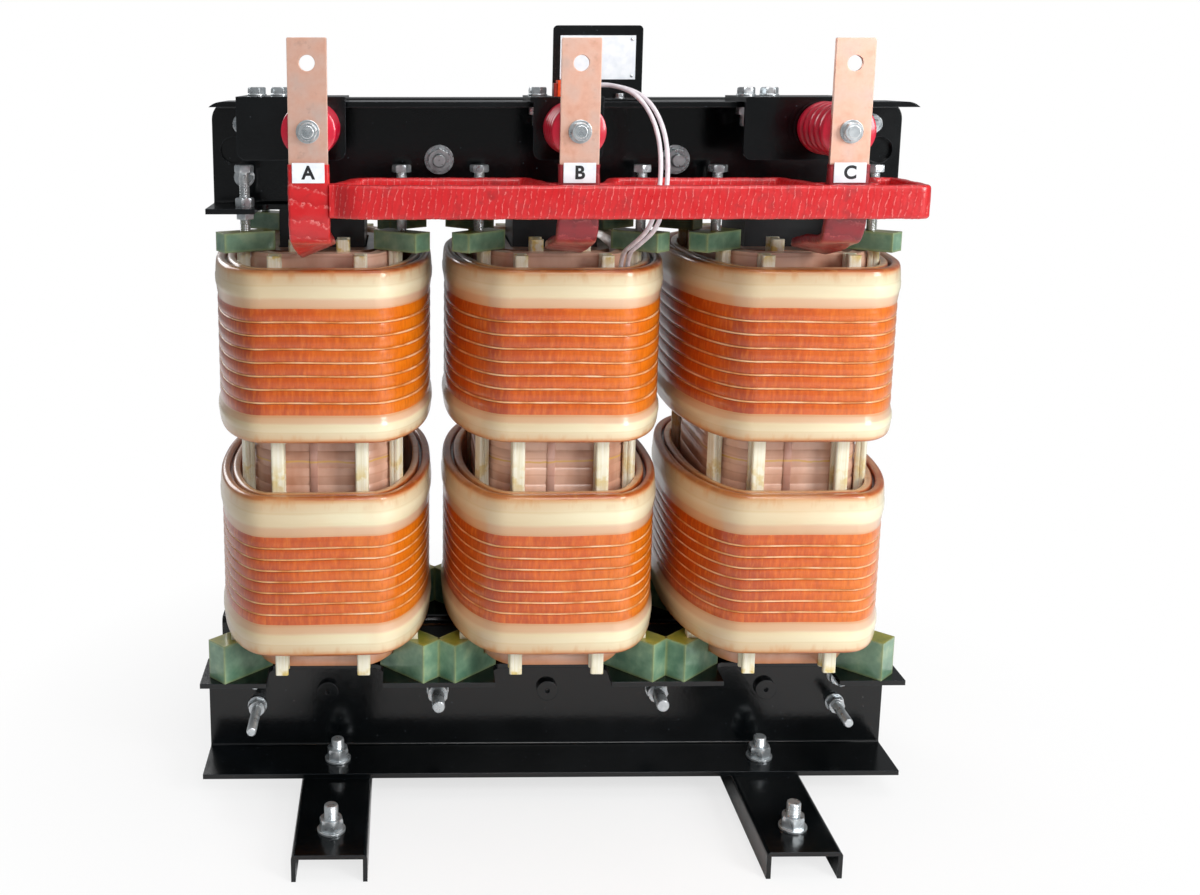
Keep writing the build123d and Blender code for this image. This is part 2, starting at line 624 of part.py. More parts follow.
# Terminal brackets: a plate that carries the insulator, and a leg on the top flange
PLATE_SPANS = {"a": (-84.0, 34.0), "b": (-38.0, 38.0), "c": (-84.0, 34.0)}
LEG_SPANS = {"a": (-84.0, 34.0), "b": (-42.0, -14.0), "c": (-84.0, 34.0)}
BRACKET_BOLTS = {"a": (-68.0, -42.0), "b": (-28.0,), "c": (-68.0, -42.0)}
bracket_hole = M12_RADIUS + HOLE_CLEARANCE / 2
brackets = []
bracket_bolts = []
plate_back = BRACKET_FRONT_Y - BRACKET_PLATE
flange_under = UPPER_CLAMP_TOP - CLAMP_PLATE
for name, cx in PHASES:
    x0, x1 = PLATE_SPANS[name]
    leg0, leg1 = LEG_SPANS[name]
    bottom = INSULATOR_Z - BRACKET_DROP
    plate = block(cx + x0, cx + x1, -BRACKET_FRONT_Y, -plate_back, bottom, DECK_Z)
    plate = fillet(plate.edges().filter_by(Axis.Y).group_by(Axis.Z)[0], BRACKET_CORNER)
    bracket = plate + block(
        cx + leg0, cx + leg1, -BRACKET_FRONT_Y, -BRACKET_BACK_Y, UPPER_CLAMP_TOP, DECK_Z
    )
    for offset in BRACKET_BOLTS[name]:
        x = cx + offset
        y = -BRACKET_BOLT_Y
        bracket -= rod_z(x, y, bracket_hole, UPPER_CLAMP_TOP - CUT, DECK_Z + CUT)
        upper_clamp -= flange_bore(x, y, M12_RADIUS + HOLE_CLEARANCE, flange_under)
        washer_top = DECK_Z + BRACKET_WASHER
        bolt = rod_z(x, y, M12_RADIUS, flange_under - BRACKET_BOLT_REACH, washer_top)
        bolt += rod_z(x, y, BRACKET_WASHER_RADIUS, DECK_Z, washer_top)
        bolt += hex_z(x, y, BRACKET_FLATS, washer_top, washer_top + BRACKET_HEAD, 15)
        bolt += hex_z(x, y, BRACKET_FLATS, flange_under - BRACKET_NUT, flange_under, 5)
        bracket_bolts.append(bolt)
    brackets.append(bracket)

# Ribbed insulators, turned about Y
RIB_EDGE = 2.0
pitch = INSULATOR_LENGTH / INSULATOR_RIBS
profile = [(0, 0), (INSULATOR_RADIUS - RIB_EDGE, 0)]
for i in range(INSULATOR_RIBS):
    low = i * pitch
    profile.append((INSULATOR_RADIUS, low + RIB_EDGE))
    profile.append((INSULATOR_RADIUS, low + pitch * 0.52))
    profile.append((INSULATOR_NECK, low + pitch * 0.66))
    profile.append((INSULATOR_NECK, low + pitch * 0.86))
profile[-2] = (INSULATOR_RADIUS, INSULATOR_LENGTH - RIB_EDGE)
profile[-1] = (INSULATOR_RADIUS - RIB_EDGE, INSULATOR_LENGTH)
profile.append((0, INSULATOR_LENGTH))
rib_face = Plane.XZ * make_face(Polyline(*profile, close=True))
insulator = Rot(90, 0, 0) * revolve(rib_face, Axis.Z)
insulators = []
bars = []
terminal_bolts = []
for name, cx in PHASES:
    thread_bore = STUD_RADIUS + STUD_CLEARANCE / 2
    body = Pos(cx, -BRACKET_FRONT_Y, INSULATOR_Z) * insulator
    body -= rod_y(cx, INSULATOR_Z, thread_bore, -BAR_REAR_Y - CUT, -BAR_REAR_Y + STUD_IN_INSULATOR + CUT)
    insulators.append(body)

    half = BAR_WIDTH / 2
    bar = block(cx - half, cx + half, -BAR_FRONT_Y, -BAR_REAR_Y, BAR_BOTTOM_Z, BAR_TOP_Z)
    bar = fillet(bar.edges().filter_by(Axis.Y), BAR_EDGE)
    hole_z = INSULATOR_Z + TERMINAL_HOLE_RISE
    bar -= rod_y(cx, hole_z, TERMINAL_HOLE_RADIUS, -BAR_FRONT_Y - CUT, -BAR_REAR_Y + CUT)
    bar -= rod_y(cx, INSULATOR_Z, STUD_RADIUS + STUD_CLEARANCE, -BAR_FRONT_Y - CUT, -BAR_REAR_Y + CUT)
    bars.append(bar)

    washer_face = -BAR_FRONT_Y - TERMINAL_WASHER
    bolt = rod_y(cx, INSULATOR_Z, STUD_RADIUS, washer_face, -BAR_REAR_Y + STUD_IN_INSULATOR)
    bolt += rod_y(cx, INSULATOR_Z, TERMINAL_WASHER_RADIUS, -BAR_FRONT_Y, washer_face)
    bolt += hex_y(cx, INSULATOR_Z, TERMINAL_FLATS, washer_face, washer_face - TERMINAL_NUT, 15)
    terminal_bolts.append(bolt)

# Taped leads from the bars down to the coils
leads = []
for name, cx in PHASES:
    path = [
        (-BAR_MIDDLE_Y, BAR_BOTTOM_Z),
        (-BAR_MIDDLE_Y, LEAD_KNEE_Z),
        (-BAR_MIDDLE_Y + LEAD_TURN_Y, LEAD_TURN_Z),
        (-OUTER_HALF_Y + LEAD_RIM_INSET, LEAD_RIM_Z),
        (-duct_middle_y, LEAD_END_Z),
    ]
    outline = mitre_outline(path, LEAD_THICKNESS)
    face = Plane.YZ * make_face(Polyline(*outline, close=True))
    body = Pos(cx - LEAD_WIDTH / 2, 0, 0) * extrude(face, LEAD_WIDTH)
    leads.append(body)


def link(path):
    """A taped flat bar on edge, along a path in plan."""
    outline = mitre_outline(path, TAPE_THICKNESS)
    face = make_face(Polyline(*outline, close=True))
    return Pos(0, 0, LINK_Z0) * extrude(face, LINK_HEIGHT)


side = LEAD_WIDTH / 2
bend = side + LINK_TAIL + LINK_BEND
link_start_y = BAR_MIDDLE_Y + LINK_START_OFFSET
front_link = link(
    [
        (-PHASE_PITCH + side, -link_start_y),
        (-PHASE_PITCH + side + LINK_TAIL, -link_start_y),
        (-PHASE_PITCH + bend, -FRONT_LINK_Y),
        (LINK_END_X, -FRONT_LINK_Y),
        (LINK_END_X, -REAR_LINK_Y),
        (PHASE_PITCH + bend + LINK_TAIL / 2, -REAR_LINK_Y),
        (PHASE_PITCH + side + LINK_TAIL, -LINK_RETURN_Y),
        (PHASE_PITCH + side, -LINK_RETURN_Y),
    ]
)
rear_links = []
behind = BAR_MIDDLE_Y - LEAD_THICKNESS / 2 - TAPE_THICKNESS / 2
for x0 in (-PHASE_PITCH, 0.0):
    x1 = x0 + PHASE_PITCH
    path = [
        (x0 + LINK_OVERLAP, -behind),
        (x0 + side + LINK_TAIL, -behind),
        (x0 + bend, -REAR_LINK_Y),
        (x1 - bend, -REAR_LINK_Y),
        (x1 - side - LINK_TAIL, -behind),
        (x1 - LINK_OVERLAP, -behind),
    ]
    rear_links.append(link(path))

# Nameplate bracket, terminal block and the pair of sensor leads
deck = UPPER_CLAMP_TOP
back = NAMEPLATE_Y - NAMEPLATE_SHEET
sheet_z1 = deck + NAMEPLATE_SHEET
nameplate_sheet = block(NAMEPLATE_X0, NAMEPLATE_X1, -NAMEPLATE_Y, -back, deck, NAMEPLATE_TOP_Z)
nameplate_sheet = fillet(nameplate_sheet.edges().filter_by(Axis.Y).group_by(Axis.Z)[-1], NAMEPLATE_CORNER)
foot_y = -NAMEPLATE_Y - NAMEPLATE_FOOT_DEPTH
nameplate_bracket = nameplate_sheet + block(NAMEPLATE_FOOT_X0, NAMEPLATE_X1, foot_y, -back, deck, sheet_z1)
plate_z1 = NAMEPLATE_TOP_Z - PLATE_TOP_GAP
nameplate = block(
    NAMEPLATE_X0 + PLATE_MARGIN,
    NAMEPLATE_X1 - PLATE_MARGIN,
    -NAMEPLATE_Y - PLATE_THICKNESS,
    -NAMEPLATE_Y,
    plate_z1 - PLATE_HEIGHT,
    plate_z1,
)
block_x1 = TERMINAL_BLOCK_X + BLOCK_SIZE
block_y1 = BLOCK_SIZE - TERMINAL_BLOCK_Y
terminal_block = block(TERMINAL_BLOCK_X, block_x1, -TERMINAL_BLOCK_Y, block_y1, deck, deck + BLOCK_HEIGHT)
terminal_block = chamfer(terminal_block.edges().filter_by(Axis.Z), 1.5)


def cord(shift):
    """One sensor lead from the terminal block to the duct of the middle phase."""
    points = [
        (7, -130 + shift, 860),
        (26, -130 + shift, 860),
        (50, -140 + shift, 862),
        (76 + shift, -168, 851),
        (93 + shift, -196, 815),
        (93 + shift, -222, 765),
        (84 + shift, -226, 715),
        (70 + shift, -186, 690),
        (64 + shift, -duct_middle_y, 676),
        (64 + shift, -duct_middle_y, 655),
    ]
    path = FilletPolyline(*points, radius=CORD_BEND)
    start = Plane(origin=path @ 0, z_dir=path % 0)
    return sweep(start * Circle(CORD_RADIUS), path=path)


cord_left = cord(0.0)
cord_right = cord(CORD_SPACING)


# Write the pieces
def one(shapes):
    """Loose solids kept side by side in one node."""
    solids = []
    for shape in shapes:
        solids.extend(shape.solids())
    return Compound(children=solids) if len(solids) > 1 else solids[0]


def at(shape, cx):
    return Pos(cx, 0, 0) * shape


pieces = {
    "core_bottom_yoke": bottom_yoke,
    "core_top_yoke": top_yoke,
    "core_limbs": one(limbs),
    "yoke_insulation": one(sheets),
    "front_lower_clamp": lower_clamp,
    "rear_lower_clamp": rear_lower_clamp,
    "front_upper_clamp": upper_clamp,
    "rear_upper_clamp": rear_upper_clamp,
    "left_foot": left_foot,
    "right_foot": right_foot,
    "lower_support_blocks": one(lower_blocks),
    "upper_support_blocks": one(upper_blocks),
    "pressing_bolts": one(pressing_bolts),
    "tie_bolts": one(tie_bolts),
    "core_bolts": one(core_bolts),
    "yoke_caps": one(yoke_caps),
    "foot_studs": one(foot_studs),
    "terminal_brackets": one(brackets),
    "terminal_insulators": one(insulators),
    "terminal_bars": one(bars),
    "terminal_fasteners": one(terminal_bolts + bracket_bolts),
    "winding_leads": one(leads),
    "front_link_bar": front_link,
    "rear_link_bars": one(rear_links),
    "nameplate_bracket": nameplate_bracket,
    "nameplate": nameplate,
    "terminal_block": terminal_block,
    "sensor_lead_left": cord_left,
    "sensor_lead_right": cord_right,
}
for name, cx in PHASES:
    pieces["outer_coil_" + name + "_lower"] = at(lower_coil, cx)
    pieces["outer_coil_" + name + "_upper"] = at(upper_coil, cx)
    pieces["middle_coil_" + name] = at(middle_coil, cx)
    pieces["inner_coil_" + name] = at(inner_coil, cx)
    pieces["duct_spacers_" + name] = at(one(spacers), cx)

os.makedirs("parts", exist_ok=True)
for name, shape in pieces.items():
    shape.label = name
    export_step(shape, "parts/" + name + ".step")
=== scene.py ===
import math
import random

import bpy
from mathutils import Matrix, Vector


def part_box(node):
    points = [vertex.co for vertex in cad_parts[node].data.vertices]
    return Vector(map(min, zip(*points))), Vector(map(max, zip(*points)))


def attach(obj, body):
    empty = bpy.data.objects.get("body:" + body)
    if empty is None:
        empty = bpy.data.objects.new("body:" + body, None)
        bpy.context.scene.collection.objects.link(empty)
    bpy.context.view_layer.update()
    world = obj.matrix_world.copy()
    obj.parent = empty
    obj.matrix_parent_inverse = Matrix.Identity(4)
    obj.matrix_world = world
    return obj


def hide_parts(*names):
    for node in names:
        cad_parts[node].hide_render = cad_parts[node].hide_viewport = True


# An open dry-type transformer, in metres: X along the row of phases, -Y to the front, Z up

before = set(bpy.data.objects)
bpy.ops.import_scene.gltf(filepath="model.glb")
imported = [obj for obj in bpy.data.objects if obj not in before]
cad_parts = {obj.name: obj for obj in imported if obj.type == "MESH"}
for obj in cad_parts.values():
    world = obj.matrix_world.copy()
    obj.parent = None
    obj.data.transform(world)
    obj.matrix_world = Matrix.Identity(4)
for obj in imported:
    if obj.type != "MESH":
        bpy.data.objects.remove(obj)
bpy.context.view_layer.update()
random.seed(11)

MM = 0.001
WHITE = (1, 1, 1, 1)
PHASE_PITCH = 0.275
PHASES = {"a": -PHASE_PITCH, "b": 0.0, "c": PHASE_PITCH}

UP = Vector((0, 0, 1))
FORWARD = Vector((0, -1, 0))

# Places and sizes of the pieces below, in metres; the upper deck's height comes from the frame
UPPER_DECK_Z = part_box("front_upper_clamp")[1][2]
CLAMP_PLATE = 6 * MM
UPPER_FLANGE_Z = UPPER_DECK_Z - 0.124 + CLAMP_PLATE
WEB_FRONT_Y = 0.066
JACK_Y = 0.110
JACK_X = {"a": (-0.084, 0.094), "b": (-0.093, 0.092), "c": (-0.097, 0.082)}
BLOCK_TOP_Z = 0.697
JACK_HEAD_Z = 0.764
TIE_X = 0.364
TIE_LOWER_Z = (0.093, 0.131)
TIE_UPPER_Z = (0.755, 0.816)
CORE_BOLT_X = 0.1375
CORE_BOLT_LOWER_Z = 0.113
CORE_BOLT_UPPER_Z = 0.775
FOOT_X = 0.262
LIFT_HOLE_X = 0.376
LIFT_HOLE_Z = 0.786
BAR_FRONT_Y = -0.267
BAR_MIDDLE_Y = -0.2645
INSULATOR_Z = 0.816
INSULATOR_LENGTH = 0.092
INSULATOR_RIBS = 5
BRACKET_FRONT_Y = -0.170

# Bolts: radius, width across flats, and the heights of nuts, heads and washers
M12_RADIUS, M12_FLATS = 6 * MM, 19 * MM
M16_RADIUS, M16_FLATS = 8 * MM, 24 * MM
M12_NUT, M12_HEAD = 10 * MM, 8 * MM
M16_NUT = 13 * MM
WASHER = 2.6 * MM
FOOT_WASHER = 3 * MM
FINE_PITCH = 1.9 * MM


def hex_linear(code):
    """An sRGB hex value as linear red, green, blue, alpha."""
    parts = [int(code[i : i + 2], 16) / 255 for i in (1, 3, 5)]
    linear = [c / 12.92 if c <= 0.04045 else ((c + 0.055) / 1.055) ** 2.4 for c in parts]
    return (*linear, 1.0)


# A colour mix's two colours and its result, among its inputs and outputs
COLOUR_A, COLOUR_B, MIXED = 6, 7, 2


def feed(node, inputs):
    """Fill a node's inputs: each is a number, a vector, an sRGB hex colour or another node's output."""
    for socket, value in inputs.items():
        if isinstance(value, bpy.types.NodeSocket):
            node.id_data.links.new(value, node.inputs[socket])
        else:
            node.inputs[socket].default_value = hex_linear(value) if isinstance(value, str) else value


def add(tree, kind, inputs=None, output=0, stops=(), **settings):
    """Add a node with its settings, inputs and any colour stops, and give one of its outputs."""
    node = tree.nodes.new("ShaderNode" + kind)
    for name, value in settings.items():
        setattr(node, name, value)
    feed(node, inputs or {})
    if stops:
        elements = node.color_ramp.elements
        while len(elements) < len(stops):
            elements.new(0.5)
        for element, (place, code) in zip(elements, stops):
            element.position = place
            element.color = hex_linear(code)
    return node.outputs[output] if node.outputs else None


def finish(name, colour, roughness, metallic=0.0, coat=0.0, coat_roughness=0.08):
    """A surface with its constant values set on the shader's own sockets."""
    material = bpy.data.materials.new(name)
    material.use_nodes = True
    tree = material.node_tree
    shader = tree.nodes["Principled BSDF"]
    feed(shader, {"Base Color": colour, "Roughness": roughness, "Metallic": metallic})
    feed(shader, {"Coat Weight": coat, "Coat Roughness": coat_roughness})
    return material, tree, shader


def place_of(tree, scale=(1, 1, 1)):
    """Places on the piece in metres, stretched."""
    coords = add(tree, "TexCoord", output="Object")
    return add(tree, "Mapping", {0: coords, "Scale": scale})


def unrolled(tree):
    """A winding's face laid flat: the distance round it and the height."""
    run = add(tree, "Attribute", output="Fac", attribute_name="run")
    height = add(tree, "Attribute", output="Fac", attribute_name="height")
    return add(tree, "CombineXYZ", {0: run, 1: height})


def lines_apart(spacing):
    """The scale of a wave pattern whose lines are spacing metres apart."""
    return 1 / spacing / 6.28 * 2


def relief(tree, shader, height, distance, strength=1.0, edge=0.0):
    """Relief from a height; edge eases the shading of sharp edges over that many metres."""
    inputs = {"Height": height, "Strength": strength, "Distance": distance}
    if edge:
        inputs["Normal"] = add(tree, "Bevel", {0: edge}, samples=4)
    feed(shader, {"Normal": add(tree, "Bump", inputs)})


def along_edges(tree, reach):
    """1 within about reach metres of a sharp edge, 0 on the flats."""
    eased = add(tree, "Bevel", {0: reach}, samples=6)
    flat = add(tree, "NewGeometry", output="Normal")
    match = add(tree, "VectorMath", {0: eased, 1: flat}, "Value", operation="DOT_PRODUCT")
    return add(tree, "MapRange", {0: match, 1: 0.99, 2: 0.80})


# Finishes. Map Range takes the value, the two limits it runs between, and the two that it gives


def varnished_turns():
    """Flat conductor in glass-yarn covering, dipped in amber varnish: yarn shows as fine upright streaks, with
    painted shade on the coil's left side and painted light on its right.
    """
    material, tree, shader = finish("varnished_turns", "#D9641E", 0.33, coat=0.55, coat_roughness=0.12)
    along = unrolled(tree)
    # Real yarn lies about 0.5 mm apart, too fine for the render, so its streaks are drawn 4.2 mm wide
    upright = add(tree, "Mapping", {0: along, "Scale": (1, 0.22, 1)})
    streaks = add(tree, "TexNoise", {0: upright, "Scale": 1 / 0.0042, "Detail": 3.0, "Roughness": 0.6})
    broad = add(tree, "TexNoise", {0: along, "Scale": 1 / 0.055, "Detail": 2.0, "Roughness": 0.55})
    lit_side = add(tree, "Attribute", output="Fac", attribute_name="lit_side")
    cloud_share = add(tree, "Math", {0: broad, 1: 0.35}, operation="MULTIPLY")
    # The side term is painted light and shade: the ramp below runs from dark red-brown on the coil's left side
    # to amber on its right
    painted_side_shading = add(tree, "Math", {0: lit_side, 1: 0.75}, operation="MULTIPLY")
    tone = add(tree, "Math", {0: cloud_share, 1: painted_side_shading}, operation="ADD")
    varnish = [(0.0, "#6E2208"), (0.2, "#A83E0A"), (0.36, "#CE580A"), (0.6, "#E0740C"), (1.0, "#EC8E12")]
    base = add(tree, "ValToRGB", {0: tone}, stops=varnish)
    high = add(tree, "MapRange", {0: streaks, 1: 0.50, 2: 0.72, 4: 0.34})
    paler = add(tree, "Mix", {0: high, COLOUR_A: base, COLOUR_B: "#F08E30"}, MIXED, data_type="RGBA")
    low = add(tree, "MapRange", {0: streaks, 1: 0.48, 2: 0.26, 4: 0.34})
    final = add(tree, "Mix", {0: low, COLOUR_A: paler, COLOUR_B: "#8A2A06"}, MIXED, data_type="RGBA")
    feed(shader, {"Base Color": final})
    relief(tree, shader, streaks, 0.0004, 0.5)
    return material


def seam_highlight():
    """The paper edge between two turns, filled with varnish: its pale colour is a painted highlight along the
    fillet.
    """
    material, tree, shader = finish("seam_highlight", "#E4A468", 0.35, coat=0.5)
    tint = add(tree, "TexNoise", {0: place_of(tree), "Scale": 1 / 0.03, "Detail": 4.0, "Roughness": 0.55})
    colour = add(tree, "ValToRGB", {0: tint}, stops=[(0.35, "#D08848"), (0.5, "#E8B27A"), (0.65, "#F4CFA2")])
    feed(shader, {"Base Color": colour})
    return material


def band_tape():
    """Glass tape over the coil's ends: cream, pinker beside the turns, browned by varnish at the rim, with
    painted shade on the coil's left side and in the rim's groove.
    """
    material, tree, shader = finish("band_tape", "#EFE3C0", 0.36, coat=0.65, coat_roughness=0.1)
    along = unrolled(tree)
    layer = add(tree, "Attribute", output="Fac", attribute_name="layer")
    stretched = add(tree, "Mapping", {0: along, "Scale": (0.16, 1, 1)})
    flow = add(tree, "TexNoise", {0: stretched, "Scale": 1 / 0.016, "Detail": 3.0, "Roughness": 0.55})
    wander = add(tree, "Math", {0: flow, 1: 0.10, 2: -0.05}, operation="MULTIPLY_ADD")
    place = add(tree, "Math", {0: layer, 1: wander}, operation="ADD")
    # From the turns to the rim's groove; the groove's darkest brown is painted shade in the recess
    turns_to_rim = [
        (0.0, "#D89E70"),
        (0.06, "#DDB28E"),
        (0.22, "#E3BF9E"),
        (0.30, "#EFE4BE"),
        (0.56, "#F1E8C6"),
        (0.62, "#E6D6AE"),
        (0.64, "#EADCB8"),
        (0.82, "#E6CFA8"),
        (0.91, "#DDA878"),
        (0.95, "#B85C20"),
        (0.98, "#A04818"),
        (1.0, "#4A2210"),
    ]
    colour = add(tree, "ValToRGB", {0: place}, stops=turns_to_rim)
    lit_side = add(tree, "Attribute", output="Fac", attribute_name="lit_side")
    # Painted shade: the tape turns a darker tan on the coil's left side
    painted_side_shade = add(tree, "MapRange", {0: lit_side, 1: 0.42, 2: 0.0, 4: 0.62})
    side_shaded_tape = add(tree, "Mix", {0: painted_side_shade, COLOUR_A: colour, COLOUR_B: "#B0824E"}, MIXED, data_type="RGBA")
    cloud = add(tree, "TexNoise", {0: place_of(tree), "Scale": 1 / 0.07, "Detail": 2.0, "Roughness": 0.55})
    patches = add(tree, "MapRange", {0: cloud, 1: 0.56, 2: 0.8, 4: 0.35})
    pinker = add(tree, "Mix", {0: patches, COLOUR_A: side_shaded_tape, COLOUR_B: "#E8BF94"}, MIXED, data_type="RGBA")
    upright = add(tree, "Mapping", {0: along, "Scale": (1, 0.3, 1)})
    runs = add(tree, "TexNoise", {0: upright, "Scale": 1 / 0.014, "Detail": 3.0, "Roughness": 0.55})
    drips = add(tree, "MapRange", {0: runs, 1: 0.50, 2: 0.66})
    near_rim = add(tree, "MapRange", {0: layer, 1: 0.62, 2: 0.90})
    rim_drips = add(tree, "Math", {0: drips, 1: near_rim}, operation="MULTIPLY")
    stained = add(tree, "Math", {0: rim_drips, 1: 0.6}, operation="MULTIPLY")
    final = add(tree, "Mix", {0: stained, COLOUR_A: pinker, COLOUR_B: "#C98648"}, MIXED, data_type="RGBA")
    feed(shader, {"Base Color": final})
    flow_share = add(tree, "Math", {0: flow, 1: 0.5}, operation="MULTIPLY")
    turns_of_tape = add(tree, "Math", {0: layer, 1: 2.6}, operation="MULTIPLY")
    tape_edges = add(tree, "Math", {0: turns_of_tape}, operation="FRACT")
    wraps = add(tree, "Math", {0: flow_share, 1: tape_edges}, operation="ADD")
    relief(tree, shader, wraps, 0.0005, 0.35)
    return material


def coil_paper(name, pale, deep):
    """Pinkish pressboard and glass paper on the inner windings, wet with varnish."""
    material, tree, shader = finish(name, pale, 0.34, coat=0.6, coat_roughness=0.1)
    coords = place_of(tree)
    drawn_up = place_of(tree, (1, 1, 0.5))
    cloud = add(tree, "TexNoise", {0: drawn_up, "Scale": 1 / 0.06, "Detail": 4.0, "Roughness": 0.55})
    colour = add(tree, "ValToRGB", {0: cloud}, stops=[(0.3, deep), (0.55, pale), (0.75, "#E3BBA6")])
    paper = {0: coords, "Scale": lines_apart(0.020), "Distortion": 0.6}
    laps = add(tree, "TexWave", paper, "Fac", bands_direction="Z")
    lap_lines = add(tree, "MapRange", {0: laps, 1: 0.05, 2: 0.0, 4: 0.4})
    lapped = add(tree, "Mix", {0: lap_lines, COLOUR_A: colour, COLOUR_B: deep}, MIXED, data_type="RGBA")
    height = add(tree, "SeparateXYZ", {0: coords}, 2)
    uneven = add(tree, "Math", {0: cloud, 1: 0.010}, operation="MULTIPLY")
    run_down = add(tree, "Math", {0: height, 1: uneven}, operation="ADD")
    # Varnish pools at the winding's foot, and leaves one yellow line between the two coils
    pooled = add(tree, "MapRange", {0: run_down, 1: 0.196, 2: 0.184, 4: 0.75})
    wet = add(tree, "Mix", {0: pooled, COLOUR_A: lapped, COLOUR_B: "#C9772E"}, MIXED, data_type="RGBA")
    line = add(tree, "Math", {0: run_down, 1: 0.4360, 2: 0.0011}, operation="COMPARE")
    faint_line = add(tree, "Math", {0: line, 1: 0.8}, operation="MULTIPLY")
    final = add(tree, "Mix", {0: faint_line, COLOUR_A: wet, COLOUR_B: "#DDB04E"}, MIXED, data_type="RGBA")
    feed(shader, {"Base Color": final})
    relief(tree, shader, laps, 0.0006, 0.25, 0.0015)
    return material


def pultruded_strip():
    """Pultruded glass-fibre strip: ivory with fine strands along it, yellow varnish on its ends."""
    material, tree, shader = finish("pultruded_strip", "#EFE8CC", 0.42, coat=0.3)
    coords = place_of(tree)
    # Real strands are finer than 0.1 mm, too fine for the render, so they are drawn 1.6 mm wide
    lengthwise = place_of(tree, (1, 1, 0.03))
    strands = add(tree, "TexNoise", {0: lengthwise, "Scale": 1 / 0.0016, "Detail": 3.0, "Roughness": 0.55})
    colour = add(tree, "ValToRGB", {0: strands}, stops=[(0.3, "#E8E1C0"), (0.55, "#F4F0DA"), (0.8, "#FAF8EA")])
    height = add(tree, "SeparateXYZ", {0: coords}, 2)
    drawn_up = place_of(tree, (1, 1, 0.25))
    drips = add(tree, "TexNoise", {0: drawn_up, "Scale": 1 / 0.012, "Detail": 2.0, "Roughness": 0.55})
    uneven = add(tree, "Math", {0: drips, 1: 0.02, 2: -0.01}, operation="MULTIPLY_ADD")
    edge = add(tree, "Math", {0: height, 1: uneven}, operation="ADD")
    # Varnish stays on the strips' tops, between the two coils and on their feet
    top = add(tree, "MapRange", {0: edge, 1: 0.664, 2: 0.676})
    below_upper = add(tree, "MapRange", {0: edge, 1: 0.440, 2: 0.412})
    above_lower = add(tree, "MapRange", {0: edge, 1: 0.396, 2: 0.420})
    between = add(tree, "Math", {0: below_upper, 1: above_lower}, operation="MULTIPLY")
    foot = add(tree, "MapRange", {0: edge, 1: 0.190, 2: 0.180})
    upper_ends = add(tree, "Math", {0: top, 1: between}, operation="MAXIMUM")
    ends = add(tree, "Math", {0: upper_ends, 1: foot}, operation="MAXIMUM")
    blotches = add(tree, "TexNoise", {0: coords, "Scale": 1 / 0.011, "Detail": 2.0, "Roughness": 0.55})
    patchy = add(tree, "MapRange", {0: blotches, 1: 0.46, 2: 0.60, 3: 0.05, 4: 0.8})
    wet = add(tree, "Math", {0: ends, 1: patchy}, operation="MULTIPLY")
    final = add(tree, "Mix", {0: wet, COLOUR_A: colour, COLOUR_B: "#D9B93A"}, MIXED, data_type="RGBA")
    feed(shader, {"Base Color": final})
    relief(tree, shader, strands, 0.0002, 0.25, 0.0012)
    return material


def glass_laminate():
    """Sawn glass-epoxy laminate: green inside, yellower on the skin faces, with faint plies."""
    material, tree, shader = finish("glass_laminate", "#5E8F6A", 0.3, coat=0.5)
    coords = place_of(tree)
    upright = add(tree, "SeparateXYZ", {0: add(tree, "NewGeometry", output="Normal")}, 2)
    skin_faces = add(tree, "MapRange", {0: upright, 1: 0.5, 2: 0.9})
    cloud = add(tree, "TexNoise", {0: coords, "Scale": 1 / 0.025, "Detail": 3.0, "Roughness": 0.55})
    body = add(tree, "ValToRGB", {0: cloud}, stops=[(0.3, "#4F7860"), (0.55, "#74987C"), (0.78, "#9CB590")])
    skin = add(tree, "ValToRGB", {0: cloud}, stops=[(0.3, "#6E7A30"), (0.6, "#969436"), (0.8, "#B4AC4C")])
    # Real plies are about 0.2 mm thick, too fine for the render, so they are drawn 3 mm apart
    plies = add(tree, "TexWave", {0: coords, "Scale": lines_apart(0.003)}, "Fac", bands_direction="Z")
    faces = add(tree, "Mix", {0: skin_faces, COLOUR_A: body, COLOUR_B: skin}, MIXED, data_type="RGBA")
    # Painted glow at the sawn edges, standing in for light that has gone through the laminate
    painted_edge_glow = add(tree, "Math", {0: along_edges(tree, 0.007), 1: 0.5}, operation="MULTIPLY")
    final = add(tree, "Mix", {0: painted_edge_glow, COLOUR_A: faces, COLOUR_B: "#B0B468"}, MIXED, data_type="RGBA")
    feed(shader, {"Base Color": final})
    relief(tree, shader, plies, 0.0002, 0.15, 0.0015)
    return material


def black_enamel():
    """Air-dried black enamel on steel: glossy, a little orange peel, pinholes and dust specks."""
    material, tree, shader = finish("black_enamel", "#0B0E11", 0.18)
    coords = place_of(tree)
    cloud = add(tree, "TexNoise", {0: coords, "Scale": 1 / 0.09, "Detail": 4.0, "Roughness": 0.55})
    colour = add(tree, "ValToRGB", {0: cloud}, stops=[(0.3, "#020405"), (0.6, "#06090B"), (0.8, "#0D1216")])
    specks = add(tree, "TexVoronoi", {0: coords, "Scale": 1 / 0.011}, "Distance", feature="F1")
    dust = add(tree, "MapRange", {0: specks, 1: 0.055, 2: 0.03, 4: 0.5})
    dusty = add(tree, "Mix", {0: dust, COLOUR_A: colour, COLOUR_B: "#77808A"}, MIXED, data_type="RGBA")
    # Painted highlight: a blue-grey line along the sharp edges
    edge_highlight = add(tree, "Math", {0: along_edges(tree, 0.0012), 1: 0.35}, operation="MULTIPLY")
    highlighted_enamel = add(tree, "Mix", {0: edge_highlight, COLOUR_A: dusty, COLOUR_B: "#3C4650"}, MIXED, data_type="RGBA")
    gloss = add(tree, "MapRange", {0: cloud, 1: 0.3, 2: 0.8, 3: 0.13, 4: 0.26})
    feed(shader, {"Base Color": highlighted_enamel, "Roughness": gloss})
    peel = add(tree, "TexNoise", {0: coords, "Scale": 1 / 0.006, "Detail": 2.0, "Roughness": 0.55})
    relief(tree, shader, peel, 0.0004, 0.25, 0.0012)
    return material


